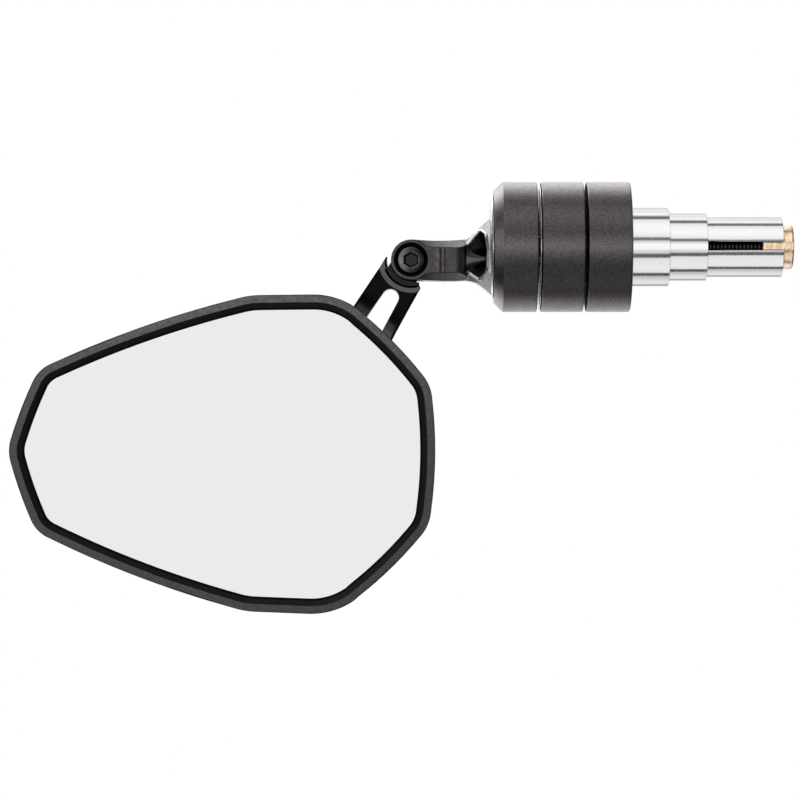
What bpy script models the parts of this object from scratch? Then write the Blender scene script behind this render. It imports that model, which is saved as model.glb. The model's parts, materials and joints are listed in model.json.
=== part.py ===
"""A bar-end mirror: an expanding plug holds a three-ring weight in the end of a handlebar, and a link arm,
a forked neck and a ball joint carry the mirror head beside it.

Frame: the origin is on the handlebar's axis, at the face of the weight that rests against the bar's end.
+X runs into the handlebar, +Z is up and -Y is towards the rider, who sees the glass.
Sizes are in millimetres and are turned into metres where a mesh is made.
"""

import math

import bmesh
import bpy
from mathutils import Vector

MM = 0.001
SEGMENTS = 32  # sides of a turned piece
SMALL_SEGMENTS = 16  # sides of a small turned piece, such as a screw
BALL_SEGMENTS = 24
TINY_SEGMENTS = 12
GAP = 0.15  # between two pieces that touch on the real object
SEAT_GAP = 0.3  # between the rings of the weight
SEAM_WASHER = 0.3  # thickness of the bright washer in the outer seam

# Weight: three rings on the handlebar's axis, the outer one furthest from the bar
WEIGHT_RADIUS = 17.35
WEIGHT_LENGTH = 36.3
INNER_JOINT = 11.8  # distance of each seam from the bar's end
OUTER_JOINT = 24.1
INNER_SEAM = (12.5, 11.65)  # the open groove at each seam
OUTER_SEAM = (24.8, 23.75)
EDGE_ROUND = 0.3
END_CHAMFER = 2.4
LOCATING_RADIUS = 9.5  # boss that centres one ring in the next
LOCATING_LENGTH = 2.0
SPIGOT_RADIUS = 8.3  # of the link arm, which turns in the outer ring
SPIGOT_LENGTH = 8.4
BOLT_SEAT = 27.0  # where the bolt's washer rests, from the bar's end
GRUB_X = -31.2
GRUB_ANGLES = {"upper": 60, "lower": -60}  # from the forward direction, towards the top
GRUB_RADIUS = 2.0

# Expanding plug
STEP_RADII = (10.5, 9.0, 8.0)  # for handlebars with bores of 21, 18 and 16 mm
STEP_ENDS = (10.25, 20.35, 40.5)
SLEEVE_BOSS_RADIUS = 8.6
SLOT_WIDTH = 2.4
SLOT_COUNT = 3
SLEEVE_RECESS = 1.2  # how deep the sleeve's largest step sits in the weight
FINGER_BORE = 5.2
BOLT_RADIUS = 3.0
BOLT_HEAD_RADIUS = 5.0
BOLT_HEAD_LENGTH = 5.6
BOLT_END = 42.2
CONE_START = 35.0
CONE_END = 43.5
CONE_RADII = (4.6, 6.0)
CONE_TRAVEL = 2.5
KEY_START = 35.2
KEY_RADIUS = 6.3
KEY_WIDTH = 2.0

# Link arm and the pivot at its end
PIVOT = (-58.3, 0.0, -3.6)
EYE_RADIUS = 5.35
ARM_TOP = 5.2
ARM_BOTTOM = -5.6
ARM_DEPTH = 6.6  # half the arm's thickness, front to back
ARM_CHAMFER_HEIGHT = 2.1
ARM_CHAMFER_DEPTH = 3.4
ARM_END = 14.4  # from the pivot, where the arm's square part ends
CLEVIS_SLOT = 2.6  # half the slot between the two cheeks
SLOT_RADIUS = 6.3
COUNTERBORE_RADIUS = 4.5
COUNTERBORE_FLOOR = 3.6
SCREW_RADIUS = 2.0
SCREW_HEAD_RADIUS = 3.8
SCREW_SOCKET = 3.8  # across the flats
NUT_FLATS = 7.0
FLANGE_RADIUS = 13.8
FLANGE_THICKNESS = 0.55

# Forked neck, in its own frame: x runs from the pivot to the ball, z is across it
NECK_ANGLE = 121.5  # turn about Y that lays the neck's x towards the ball
NECK_LENGTH = 61.0
TONGUE_DEPTH = 1.9
TONGUE_RADIUS = 5.2
TONGUE_WIDTH = 4.3
CRADLE_RADII = (6.7, 7.1, 8.8)  # the three steps round the eye
CRADLE_DEPTHS = (3.2, 4.75, 5.0)
HORN_STEP = -2.4  # height above which only the cradle's deep layer goes on
CRADLE_END = (2.5, -7.9)  # corner, from the pivot, where the cradle is cut off under the arm
NECK_PAD_RADIUS = 10.2
NECK_PAD = (3.5, 8.2)  # front and back face of the round pad behind the ball

# Ball joint
BALL_Y = -2.6
BALL_RADIUS = 5.0
CUP_RADII = (5.1, 6.2)
SOCKET_RADIUS = 6.35
SOCKET_OUTER = 11.5
SOCKET_HOUSING = (8.8, -9.85, -5.5)  # radius, front and back of the cylinder behind the glass
SOCKET_BOSS = (-6.2, -2.0)  # front and back of the boss on the shell
CAP_SEAT = -1.85
CAP_BACK = 2.0
CAP_LIP_RADII = (4.6, 5.4)
SOCKET_SCREWS = 3
SOCKET_SCREW_CIRCLE = 9.0
SOCKET_SCREW_RADIUS = 1.1
SOCKET_SCREW_HEAD = (2.0, -0.85, 0.1)  # radius, front and back
SOCKET_SCREW_END = -6.0
STUD_RADIUS = 2.2
STUD_SHOULDER = 2.95
STUD_END = 13.2
SHANK_RADIUS = 2.4
STUD_WASHER = (4.8, 8.35, 9.15)  # radius, front and back
STUD_NUT = (8.0, 9.3, 12.8)  # across the flats, front and back

# Mirror head, measured from the middle of the glass
BALL_IN_HEAD = (17.8, -0.5)
# Each corner of the glass: x, z, corner radius, and the turn in degrees of the bowed edge that follows it
GLASS_CORNERS = (
    (51.0, 16.6, 7.8, 17.1),
    (29.1, 38.1, 16.0, 0.8),
    (7.9, 37.9, 19.5, 11.8),
    (-45.4, 19.3, 5.5, 10.5),
    (-52.4, 1.0, 7.3, 10.7),
    (-45.9, -17.5, 5.4, 11.7),
    (6.8, -37.4, 19.2, 0.7),
    (28.1, -38.2, 16.0, 17.3),
    (50.6, -17.2, 7.8, 17.1),
)
# Distances outwards from that outline
RIM_WIDTH = 4.0
BEZEL_START = 0.45
SHELL_START = 1.9
GLASS_GROWTH = 0.95  # how far the glass reaches under the seal
# Depths
HEAD_FRONT = -14.4
BEZEL_FRONT = -13.75
SEAL_SECTION = (-13.4, -13.15)
GLASS_EDGE = -13.0
GLASS_DOME = 0.55
GLASS_BACK = -12.0
PAD_BACK = -11.25
LEDGE = -9.95
BACK_RISE = (-6.9, -6.3)  # inside and outside of the shell where its back levels out
BACK_PLATEAU = -4.7

UP_THE_X_AXIS = (0.0, math.radians(90), 0.0)
UP_THE_Y_AXIS = (math.radians(-90), 0.0, 0.0)


def clear_scene():
    for old in list(bpy.data.objects):
        bpy.data.objects.remove(old)


def new_collection(name):
    made = bpy.data.collections.new(name)
    bpy.context.scene.collection.children.link(made)
    return made


def make_material(name, colour, roughness, metallic):
    made = bpy.data.materials.new(name)
    made.use_nodes = True
    shader = made.node_tree.nodes["Principled BSDF"]
    shader.inputs["Base Color"].default_value = (*colour, 1)
    shader.inputs["Roughness"].default_value = roughness
    shader.inputs["Metallic"].default_value = metallic
    return made


clear_scene()
PIECES = new_collection("bar_end_mirror")
CUTTERS = new_collection("cutters")
MATERIALS = {
    "anodised": make_material("black_anodised", (0.045, 0.043, 0.046), 0.45, 0.8),
    "polished": make_material("polished_black", (0.015, 0.015, 0.016), 0.18, 0.6),
    "aluminium": make_material("turned_aluminium", (0.85, 0.85, 0.86), 0.2, 1.0),
    "brass": make_material("brass", (0.75, 0.56, 0.33), 0.35, 1.0),
    "steel": make_material("blackened_steel", (0.03, 0.03, 0.032), 0.4, 0.7),
    "plastic": make_material("black_plastic", (0.02, 0.02, 0.02), 0.35, 0.0),
    "rubber": make_material("black_rubber", (0.012, 0.012, 0.012), 0.7, 0.0),
    "nylon": make_material("white_nylon", (0.8, 0.79, 0.75), 0.5, 0.0),
    "mirror": make_material("silvered_glass", (0.86, 0.87, 0.88), 0.03, 1.0),
}


def empty_at(name, location, rotation=(0, 0, 0), parent=None):
    made = bpy.data.objects.new(name, None)
    PIECES.objects.link(made)
    made.parent = parent
    made.location = Vector(location) * MM
    made.rotation_euler = rotation
    return made


def object_from(name, mesh_builder, collection=PIECES):
    """An object whose mesh is the finished bmesh, with outward normals."""
    bmesh.ops.recalc_face_normals(mesh_builder, faces=mesh_builder.faces)
    mesh = bpy.data.meshes.new(name)
    mesh_builder.to_mesh(mesh)
    mesh_builder.free()
    made = bpy.data.objects.new(name, mesh)
    collection.objects.link(made)
    return made


def place(made, parent, location=(0, 0, 0), rotation=(0, 0, 0)):
    made.parent = parent
    made.location = Vector(location) * MM
    made.rotation_euler = rotation
    return made


def paint(made, material):
    made.data.materials.clear()
    made.data.materials.append(MATERIALS[material])
    made.data.shade_smooth()
    made.data.set_sharp_from_angle(angle=math.radians(30))
    return made


def turned(name, profile, steps=SEGMENTS, closed=True, collection=PIECES):
    """A turned shape about its own Z. The profile is (height, radius) points that run down the outer side."""
    mesh = bpy.data.meshes.new(name)
    points = [(radius * MM, 0.0, height * MM) for height, radius in profile]
    edges = [(i, i + 1) for i in range(len(points) - 1)]
    if closed:
        edges.append((len(points) - 1, 0))
    mesh.from_pydata(points, edges, [])
    made = bpy.data.objects.new(name, mesh)
    collection.objects.link(made)
    screw = made.modifiers.new("turn", "SCREW")
    screw.axis = "Z"
    screw.steps = screw.render_steps = steps
    screw.use_merge_vertices = True
    screw.merge_threshold = 0.000002
    screw.use_smooth_shade = False
    return made


def tube(bottom, top, outer, inner, edge=0.0):
    """The closed profile of a tube, with its outer edges broken by `edge`."""
    if not edge:
        return [(top, outer), (bottom, outer), (bottom, inner), (top, inner)]
    return [
        (top, outer - edge),
        (top - edge, outer),
        (bottom + edge, outer),
        (bottom, outer - edge),
        (bottom, inner),
        (top, inner),
    ]


def prism(name, outline, low, high, collection=CUTTERS):
    """A flat outline of (x, z) points, thickened along Y from low to high."""
    builder = bmesh.new()
    corners = [builder.verts.new((x * MM, low * MM, z * MM)) for x, z in outline]
    face = builder.faces.new(corners)
    moved = bmesh.ops.extrude_face_region(builder, geom=[face])["geom"]
    raised = [item for item in moved if isinstance(item, bmesh.types.BMVert)]
    bmesh.ops.translate(builder, vec=(0, (high - low) * MM, 0), verts=raised)
    return object_from(name, builder, collection)


def loft(name, loops, collection=PIECES):
    """A closed skin through loops of (x, y, z) points, each with the same count, with both ends capped."""
    builder = bmesh.new()
    rings = [[builder.verts.new(Vector(p) * MM) for p in loop] for loop in loops]
    count = len(rings[0])
    for near, far in zip(rings, rings[1:]):
        for i in range(count):
            j = (i + 1) % count
            builder.faces.new((near[i], near[j], far[j], far[i]))
    builder.faces.new(rings[0])
    builder.faces.new(rings[-1])
    return object_from(name, builder, collection)


def block(name, low, high, collection=CUTTERS):
    """A box between two corners."""
    builder = bmesh.new()
    bmesh.ops.create_cube(builder, size=1.0)
    size = [(b - a) * MM for a, b in zip(low, high)]
    middle = [(a + b) / 2 * MM for a, b in zip(low, high)]
    bmesh.ops.scale(builder, vec=size, verts=builder.verts)
    bmesh.ops.translate(builder, vec=middle, verts=builder.verts)
    return object_from(name, builder, collection)


def bar(name, radius, bottom, top, sides=SMALL_SEGMENTS, collection=CUTTERS):
    """A cylinder or hexagonal bar about its own Z."""
    builder = bmesh.new()
    bmesh.ops.create_cone(
        builder,
        cap_ends=True,
        segments=sides,
        radius1=radius * MM,
        radius2=radius * MM,
        depth=(top - bottom) * MM,
    )
    bmesh.ops.translate(builder, vec=(0, 0, (top + bottom) / 2 * MM), verts=builder.verts)
    return object_from(name, builder, collection)


def combine(target, other, operation):
    """Cuts another object from the target, or joins it on, and keeps it as a hidden helper."""
    other.hide_render = True
    other.display_type = "WIRE"
    modifier = target.modifiers.new(operation.lower() + "_" + other.name, "BOOLEAN")
    modifier.operation = operation
    modifier.solver = "EXACT"
    modifier.object = other


def cut(target, *cutters):
    for cutter in cutters:
        combine(target, cutter, "DIFFERENCE")


def join(target, *others):
    for other in others:
        combine(target, other, "UNION")


def on_x(made, parent, location=(0, 0, 0)):
    return place(made, parent, location, UP_THE_X_AXIS)


def on_y(made, parent, location=(0, 0, 0)):
    return place(made, parent, location, UP_THE_Y_AXIS)


def hexagon_radius(across_flats):
    return across_flats / 2 / math.cos(math.radians(30))


# ---------------------------------------------------------------- weight


def radial_rotation(angle):
    """Turns an object's Z to point outwards from the bar's axis, at an angle from forwards."""
    direction = Vector((0, math.cos(math.radians(angle)), math.sin(math.radians(angle))))
    return direction.to_track_quat("Z", "X").to_euler()


def build_weight(parent):
    inner = turned(
        "ring_inner",
        [
            (0, WEIGHT_RADIUS - EDGE_ROUND),
            (-EDGE_ROUND, WEIGHT_RADIUS),
            (-INNER_SEAM[1] + EDGE_ROUND, WEIGHT_RADIUS),
            (-INNER_SEAM[1], WEIGHT_RADIUS - EDGE_ROUND),
            (-INNER_SEAM[1], LOCATING_RADIUS),
            (-INNER_JOINT - LOCATING_LENGTH, LOCATING_RADIUS),
            (-INNER_JOINT - LOCATING_LENGTH, BOLT_RADIUS + GAP),
            (-LOCATING_LENGTH - 0.6, BOLT_RADIUS + GAP),
            (-LOCATING_LENGTH - 0.6, SLEEVE_BOSS_RADIUS + GAP),
            (-SLEEVE_RECESS, SLEEVE_BOSS_RADIUS + GAP),
            (-SLEEVE_RECESS, STEP_RADII[0] + GAP),
            (0, STEP_RADII[0] + GAP),
        ],
    )
    middle = turned(
        "ring_middle",
        [
            (-INNER_SEAM[0], WEIGHT_RADIUS - EDGE_ROUND),
            (-INNER_SEAM[0] - EDGE_ROUND, WEIGHT_RADIUS),
            (-OUTER_SEAM[1] + EDGE_ROUND, WEIGHT_RADIUS),
            (-OUTER_SEAM[1], WEIGHT_RADIUS - EDGE_ROUND),
            (-OUTER_SEAM[1], LOCATING_RADIUS),
            (-OUTER_JOINT - LOCATING_LENGTH + 0.3, LOCATING_RADIUS),
            (-OUTER_JOINT - LOCATING_LENGTH + 0.3, BOLT_RADIUS + GAP),
            (-INNER_JOINT - LOCATING_LENGTH - SEAT_GAP, BOLT_RADIUS + GAP),
            (-INNER_JOINT - LOCATING_LENGTH - SEAT_GAP, LOCATING_RADIUS + GAP),
            (-INNER_SEAM[0], LOCATING_RADIUS + GAP),
        ],
    )
    outer = turned(
        "ring_outer",
        [
            (-OUTER_SEAM[0], WEIGHT_RADIUS - EDGE_ROUND),
            (-OUTER_SEAM[0] - EDGE_ROUND, WEIGHT_RADIUS),
            (-WEIGHT_LENGTH + END_CHAMFER, WEIGHT_RADIUS),
            (-WEIGHT_LENGTH, WEIGHT_RADIUS - END_CHAMFER),
            (-WEIGHT_LENGTH, SPIGOT_RADIUS + GAP),
            (-BOLT_SEAT - 0.9, SPIGOT_RADIUS + GAP),
            (-BOLT_SEAT - 0.9, BOLT_RADIUS + GAP),
            (-OUTER_JOINT - LOCATING_LENGTH, BOLT_RADIUS + GAP),
            (-OUTER_JOINT - LOCATING_LENGTH, LOCATING_RADIUS + GAP),
            (-OUTER_SEAM[0], LOCATING_RADIUS + GAP),
        ],
    )
    seam = turned(
        "seam_washer",
        tube(
            -OUTER_JOINT - SEAM_WASHER / 2,
            -OUTER_JOINT + SEAM_WASHER / 2,
            WEIGHT_RADIUS - 0.7,
            LOCATING_RADIUS + GAP,
        ),
    )
    for ring in (inner, middle, outer):
        paint(on_x(ring, parent), "anodised")
    paint(on_x(seam, parent), "aluminium")
    build_grub_screws(outer, parent)


def build_grub_screws(ring, parent):
    """Two headless screws that lock the link arm's spigot in the outer ring."""
    for name, angle in GRUB_ANGLES.items():
        place_there = ((GRUB_X, 0, 0), radial_rotation(angle))
        hole = bar(f"grub_hole_{name}", GRUB_RADIUS + GAP, SPIGOT_RADIUS - 1, WEIGHT_RADIUS + 2)
        cut(ring, place(hole, parent, *place_there))
        tip, top = SPIGOT_RADIUS - 0.65, WEIGHT_RADIUS - 1.6
        profile = [(top, 0), (top, GRUB_RADIUS), (tip + 1.6, GRUB_RADIUS), (tip, 0.5), (tip, 0)]
        screw = turned(f"link_grub_screw_{name}", profile, SMALL_SEGMENTS, closed=False)
        place(screw, parent, *place_there)
        socket = bar(f"grub_socket_{name}", hexagon_radius(2.0), WEIGHT_RADIUS - 4.4, WEIGHT_RADIUS, 6)
        cut(screw, place(socket, parent, *place_there))
        paint(screw, "steel")


# ---------------------------------------------------------------- expanding plug


def cone_radius(x):
    """The cone's radius at a place along the bar's axis."""
    share = (x - CONE_START) / (CONE_END - CONE_START)
    return CONE_RADII[0] + share * (CONE_RADII[1] - CONE_RADII[0])


def build_sleeve(parent):
    mouth = STEP_ENDS[2]
    sleeve = turned(
        "expansion_sleeve",
        [
            (mouth, STEP_RADII[2]),
            (STEP_ENDS[1], STEP_RADII[2]),
            (STEP_ENDS[1], STEP_RADII[1]),
            (STEP_ENDS[0], STEP_RADII[1]),
            (STEP_ENDS[0], STEP_RADII[0]),
            (SEAT_GAP - SLEEVE_RECESS, STEP_RADII[0]),
            (SEAT_GAP - SLEEVE_RECESS, SLEEVE_BOSS_RADIUS),
            (-LOCATING_LENGTH, SLEEVE_BOSS_RADIUS),
            (-LOCATING_LENGTH, BOLT_RADIUS + GAP),
            (STEP_ENDS[1] - 1, BOLT_RADIUS + GAP),
            (STEP_ENDS[1], FINGER_BORE),
            (CONE_START, FINGER_BORE),
            (mouth, cone_radius(mouth + CONE_TRAVEL) + 0.12),
        ],
    )
    on_x(sleeve, parent)
    for number in range(SLOT_COUNT):
        slot = block(
            f"finger_slot_{number}",
            (STEP_ENDS[1] + 0.1, -STEP_RADII[0], -SLOT_WIDTH / 2),
            (mouth + 1, 0, SLOT_WIDTH / 2),
        )
        place(slot, parent, rotation=(2 * math.pi * number / SLOT_COUNT, 0, 0))
        cut(sleeve, slot)
    paint(sleeve, "aluminium")


def build_clamp(bolt_body, cone_body):
    head = -BOLT_SEAT - 2.3
    bolt = turned(
        "clamp_bolt",
        [
            (BOLT_END, 0),
            (BOLT_END, BOLT_RADIUS - 0.5),
            (BOLT_END - 0.5, BOLT_RADIUS),
            (head, BOLT_RADIUS),
            (head, BOLT_HEAD_RADIUS),
            (head - BOLT_HEAD_LENGTH + 0.4, BOLT_HEAD_RADIUS),
            (head - BOLT_HEAD_LENGTH, BOLT_HEAD_RADIUS - 0.4),
            (head - BOLT_HEAD_LENGTH, 0),
        ],
        SMALL_SEGMENTS,
        closed=False,
    )
    on_x(bolt, bolt_body)
    socket = bar("bolt_socket", hexagon_radius(5.0), head - 9, head - 2.8, 6)
    cut(bolt, on_x(socket, bolt_body))
    paint(bolt, "steel")
    cone = turned(
        "expander_cone",
        [
            (CONE_END, CONE_RADII[1] - 0.5),
            (CONE_END - 0.5, CONE_RADII[1]),
            (CONE_START, CONE_RADII[0]),
            (CONE_START, BOLT_RADIUS + GAP),
            (CONE_END, BOLT_RADIUS + GAP),
        ],
    )
    on_x(cone, cone_body)
    for number in range(SLOT_COUNT):
        key = block(
            f"cone_key_{number}",
            (KEY_START, -KEY_RADIUS, -KEY_WIDTH / 2),
            (CONE_END - 0.25, -BOLT_RADIUS - 1.2, KEY_WIDTH / 2),
        )
        place(key, cone_body, rotation=(2 * math.pi * number / SLOT_COUNT, 0, 0))
        join(cone, key)
    paint(cone, "brass")


def build_bolt_washer(parent):
    washer = turned(
        "bolt_washer",
        tube(-BOLT_SEAT - 2.15, -BOLT_SEAT - 1.05, BOLT_HEAD_RADIUS + 0.4, BOLT_RADIUS + GAP),
        SMALL_SEGMENTS,
    )
    paint(on_x(washer, parent), "steel")


# ---------------------------------------------------------------- link arm


def arm_outline():
    """The arm seen from the front: the round eye at the pivot, then a straight bar."""
    steps = SEGMENTS // 2
    angles = [math.radians(90 + 180 * i / steps) for i in range(steps + 1)]
    eye = [(EYE_RADIUS * math.cos(a), EYE_RADIUS * math.sin(a)) for a in angles]
    return eye + [(ARM_END, ARM_BOTTOM), (ARM_END, ARM_TOP)]


def octagon(x, bottom, top, depth, corner):
    """A section across the arm: a rectangle with cut corners, at a place along it."""
    height, width = corner * (top - bottom), corner * depth * 2
    return [
        (x, -depth + width, bottom),
        (x, depth - width, bottom),
        (x, depth, bottom + height),
        (x, depth, top - height),
        (x, depth - width, top),
        (x, -depth + width, top),
        (x, -depth, top - height),
        (x, -depth, bottom + height),
    ]


def edge_cutter(name, side, level):
    """The wedge that breaks one long edge of the arm, and runs out to nothing at the eye."""
    sections = []
    edge = ARM_TOP if level > 0 else -ARM_BOTTOM
    for x, size in ((1.5, 0.02), (4.6, 1.0), (ARM_END + 0.5, 1.0)):
        inner_z = level * (edge - ARM_CHAMFER_HEIGHT * size)
        inner_y = side * (ARM_DEPTH - ARM_CHAMFER_DEPTH * size)
        outer_z, outer_y = level * (edge + 1), side * (ARM_DEPTH + 1)
        reach = ARM_CHAMFER_HEIGHT / ARM_CHAMFER_DEPTH
        sections.append([
            (x, outer_y, inner_z - level * reach),
            (x, inner_y - side / reach, outer_z),
            (x, outer_y, outer_z),
        ])
    return loft(name, sections, CUTTERS)


def pocket_cutter(name, side):
    """The six-sided scoop between the arm and its flange, with a low ridge along the middle of its floor."""
    outline = (
        (20.1, 0.5),
        (20.1, 6.0),
        (18.3, 7.7),
        (14.7, 3.6),
        (14.7, 0.5),
        (14.8, -3.0),
        (18.4, -5.0),
        (20.1, -3.0),
    )
    builder = bmesh.new()
    floor = [(x, side * (3.4 - 0.3 * abs(z - 0.5)), z) for x, z in outline]
    mouth = [(x, side * 14.0, z) for x, z in outline]
    near, far = [[builder.verts.new(Vector(p) * MM) for p in loop] for loop in (floor, mouth)]
    for i in range(len(outline)):
        builder.faces.new((near[i - 1], near[i], far[i], far[i - 1]))
    builder.faces.new(near[:5])
    builder.faces.new(near[4:] + near[:1])
    builder.faces.new(far)
    return object_from(name, builder, CUTTERS)


def build_link(link_body, pivot_on_link):
    arm = prism("link_arm", arm_outline(), -ARM_DEPTH, ARM_DEPTH, PIECES)
    place(arm, pivot_on_link)
    for side in (-1, 1):
        for level in (-1, 1):
            cut(arm, place(edge_cutter(f"arm_edge_{side}_{level}", side, level), pivot_on_link))
        wedge = prism(
            f"arm_end_{side}",
            [(12.6, side * 6.6), (15.0, side * 4.5), (15.0, side * 8), (12.6, side * 8)],
            -7,
            7,
        )
        wedge = place(wedge, pivot_on_link, rotation=UP_THE_Y_AXIS)
        cut(arm, wedge)
    flare = loft(
        "link_flare",
        [
            octagon(12.5, -5.3, 4.9, 5.0, 0.14),
            octagon(15.6, -5.6, 5.9, 5.9, 0.18),
            octagon(21.4, -9.2, 11.4, 9.6, 0.26),
        ],
        CUTTERS,
    )
    flange = turned("link_flange", flange_profile(), closed=False, collection=CUTTERS)
    join(arm, place(flare, pivot_on_link), on_x(flange, link_body))
    for side in (-1, 1):
        cut(arm, place(pocket_cutter(f"arm_pocket_{side}", side), pivot_on_link))
        low, high = side * (ARM_DEPTH - 0.5), side * (ARM_DEPTH + 0.2)
        groove = prism(f"arm_groove_{side}", [(6.4, high), (9.6, high), (8.3, low), (7.7, low)], -8, 8)
        cut(arm, place(groove, pivot_on_link, rotation=UP_THE_Y_AXIS))
    cut_pivot_holes(arm, pivot_on_link)
    paint(arm, "anodised")


def flange_profile():
    """The thin flange against the weight, with the hollow spigot that turns in the outer ring."""
    face = -WEIGHT_LENGTH - GAP
    spigot_end = -WEIGHT_LENGTH + SPIGOT_LENGTH - GAP
    return [
        (-35.3, 0.0),
        (-35.3, BOLT_HEAD_RADIUS + 0.7),
        (spigot_end, BOLT_HEAD_RADIUS + 0.7),
        (spigot_end, SPIGOT_RADIUS),
        (GRUB_X + 1.4, SPIGOT_RADIUS),
        (GRUB_X + 0.6, SPIGOT_RADIUS - 0.9),
        (GRUB_X - 0.6, SPIGOT_RADIUS - 0.9),
        (GRUB_X - 1.4, SPIGOT_RADIUS),
        (face, SPIGOT_RADIUS),
        (face, FLANGE_RADIUS - 0.2),
        (face - 0.2, FLANGE_RADIUS),
        (face - FLANGE_THICKNESS, FLANGE_RADIUS - 0.5),
        (face - FLANGE_THICKNESS, 0.0),
    ]


def cut_pivot_holes(arm, frame):
    slot = bar("clevis_slot", SLOT_RADIUS, -CLEVIS_SLOT, CLEVIS_SLOT, SEGMENTS)
    hole = bar("pivot_hole", SCREW_RADIUS + GAP, -9, 9)
    counterbore = bar("pivot_counterbore", COUNTERBORE_RADIUS, -9, -COUNTERBORE_FLOOR, SEGMENTS)
    nut_pocket = bar("nut_pocket", hexagon_radius(NUT_FLATS + 0.3), 3.5, 9, 6)
    for cutter in (slot, hole, counterbore, nut_pocket):
        cut(arm, on_y(cutter, frame))


def build_pivot_hardware(frame):
    head_back = -COUNTERBORE_FLOOR - GAP
    head_front = head_back - 2.4
    screw = turned(
        "pivot_screw",
        [
            (6.1, 0),
            (6.1, SCREW_RADIUS),
            (head_back, SCREW_RADIUS),
            (head_back, SCREW_HEAD_RADIUS),
            (head_front + 0.5, SCREW_HEAD_RADIUS),
            (head_front, SCREW_HEAD_RADIUS - 0.6),
            (head_front, 0),
        ],
        closed=False,
    )
    on_y(screw, frame)
    socket = bar("pivot_socket", hexagon_radius(SCREW_SOCKET), head_front - 1, head_front + 1.6, 6)
    cut(screw, on_y(socket, frame))
    paint(screw, "steel")
    nut = bar("pivot_nut", hexagon_radius(NUT_FLATS), 3.65, 6.5, 6, PIECES)
    bore = bar("pivot_nut_bore", SCREW_RADIUS + 0.1, 0, 9)
    cut(on_y(nut, frame), on_y(bore, frame))
    paint(nut, "steel")
    for name, side in (("front", -1), ("rear", 1)):
        middle = side * (CLEVIS_SLOT + TONGUE_DEPTH) / 2
        washer = turned(f"pivot_washer_{name}", tube(middle - 0.2, middle + 0.2, 5.0, 2.3))
        paint(on_y(washer, frame), "nylon")


# ---------------------------------------------------------------- neck

# Sections of the neck: distance from the pivot, front face, back face, half width
NECK_SECTIONS = (
    (2.0, -5.0, 5.0, 6.05),
    (6.0, -5.0, 5.0, 6.05),
    (13.0, -4.85, 5.05, 6.4),
    (16.0, -4.2, 5.2, 6.55),
    (19.0, -2.6, 5.65, 6.7),
    (22.0, -0.65, 6.1, 6.9),
    (27.0, 1.2, 6.9, 7.35),
    (35.0, 3.2, 7.7, 8.2),
    (42.0, 3.7, 8.0, 8.7),
    (60.0, 3.7, 8.0, 9.9),
)
NECK_EDGE = 0.9  # chamfer along the neck's four long edges


def neck_section(s, front, back, half):
    edge = NECK_EDGE
    return [
        (s, front, -half + edge),
        (s, front, half - edge),
        (s, front + edge, half),
        (s, back - edge, half),
        (s, back, half - edge),
        (s, back, -half + edge),
        (s, back - edge, -half),
        (s, front + edge, -half),
    ]


def slot_outline():
    """The long opening between the fork's legs: round at both ends, and wider towards the ball."""
    centre = 0.55
    top, top_radius = 11.4, 2.25
    bottom, bottom_radius = 44.0, 4.1
    points = []
    for middle, radius, start in ((top, top_radius, 90), (bottom, bottom_radius, -90)):
        for i in range(11):
            angle = math.radians(start + 18 * i)
            points.append((middle + radius * math.cos(angle), centre + radius * math.sin(angle)))
    return points


def cradle_profile():
    """What the neck's end is turned away by, round the pivot: three steps that face the eye."""
    inner, middle, outer = CRADLE_RADII
    deep, band, front = CRADLE_DEPTHS
    half = [
        (front + 1.1, outer + 1.2),
        (front, outer + 0.1),
        (band + 0.05, outer),
        (band, middle),
        (deep, middle),
        (deep, inner),
    ]
    whole = half + [(-depth, radius) for depth, radius in reversed(half)]
    return [(whole[0][0], 0)] + whole + [(whole[-1][0], 0)]


def build_neck(neck_body):
    deep = CRADLE_DEPTHS[0]
    neck = loft("neck_fork", [neck_section(*section) for section in NECK_SECTIONS])
    place(neck, neck_body)
    cradle = turned("cradle", cradle_profile(), closed=False, collection=CUTTERS)
    slot = prism("neck_slot", slot_outline(), -9, 12)
    cut(neck, on_y(cradle, neck_body), place(slot, neck_body))
    # Room below the arm, which is level when the neck hangs at rest
    trims = [
        block("under_arm", (0.5, -9, ARM_BOTTOM - 0.55), (14, 9, 9)),
        block("cradle_end", (CRADLE_END[0], -9, CRADLE_END[1]), (14, 9, 9)),
        block("horn_step_front", (-14, -9, HORN_STEP), (-3, -deep, 9)),
        block("horn_step_rear", (-14, deep, HORN_STEP), (-3, 9, 9)),
    ]
    for trim in trims:
        trim.location = Vector(PIVOT) * MM
    cut(neck, *trims)
    tongue = bar("tongue_eye", TONGUE_RADIUS, -TONGUE_DEPTH, TONGUE_DEPTH, SEGMENTS)
    web = block(
        "tongue_web",
        (0.3, -TONGUE_DEPTH + 0.02, -TONGUE_WIDTH),
        (8.6, TONGUE_DEPTH - 0.02, TONGUE_WIDTH),
    )
    pad = bar("neck_pad", NECK_PAD_RADIUS, *NECK_PAD, SEGMENTS)
    join(neck, on_y(tongue, neck_body), place(web, neck_body))
    join(neck, on_y(pad, neck_body, (NECK_LENGTH, 0, 0)))
    bush_hole = bar("bush_hole", 2.85, -9, 9)
    stud_hole = bar("stud_hole", SHANK_RADIUS + GAP, -9, 12)
    cut(neck, on_y(bush_hole, neck_body), on_y(stud_hole, neck_body, (NECK_LENGTH, 0, 0)))
    paint(neck, "polished")
    bush = turned("pivot_bush", tube(-TONGUE_DEPTH, TONGUE_DEPTH, 2.7, 2.15), SMALL_SEGMENTS)
    paint(on_y(bush, neck_body), "brass")


# ---------------------------------------------------------------- ball joint


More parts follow.
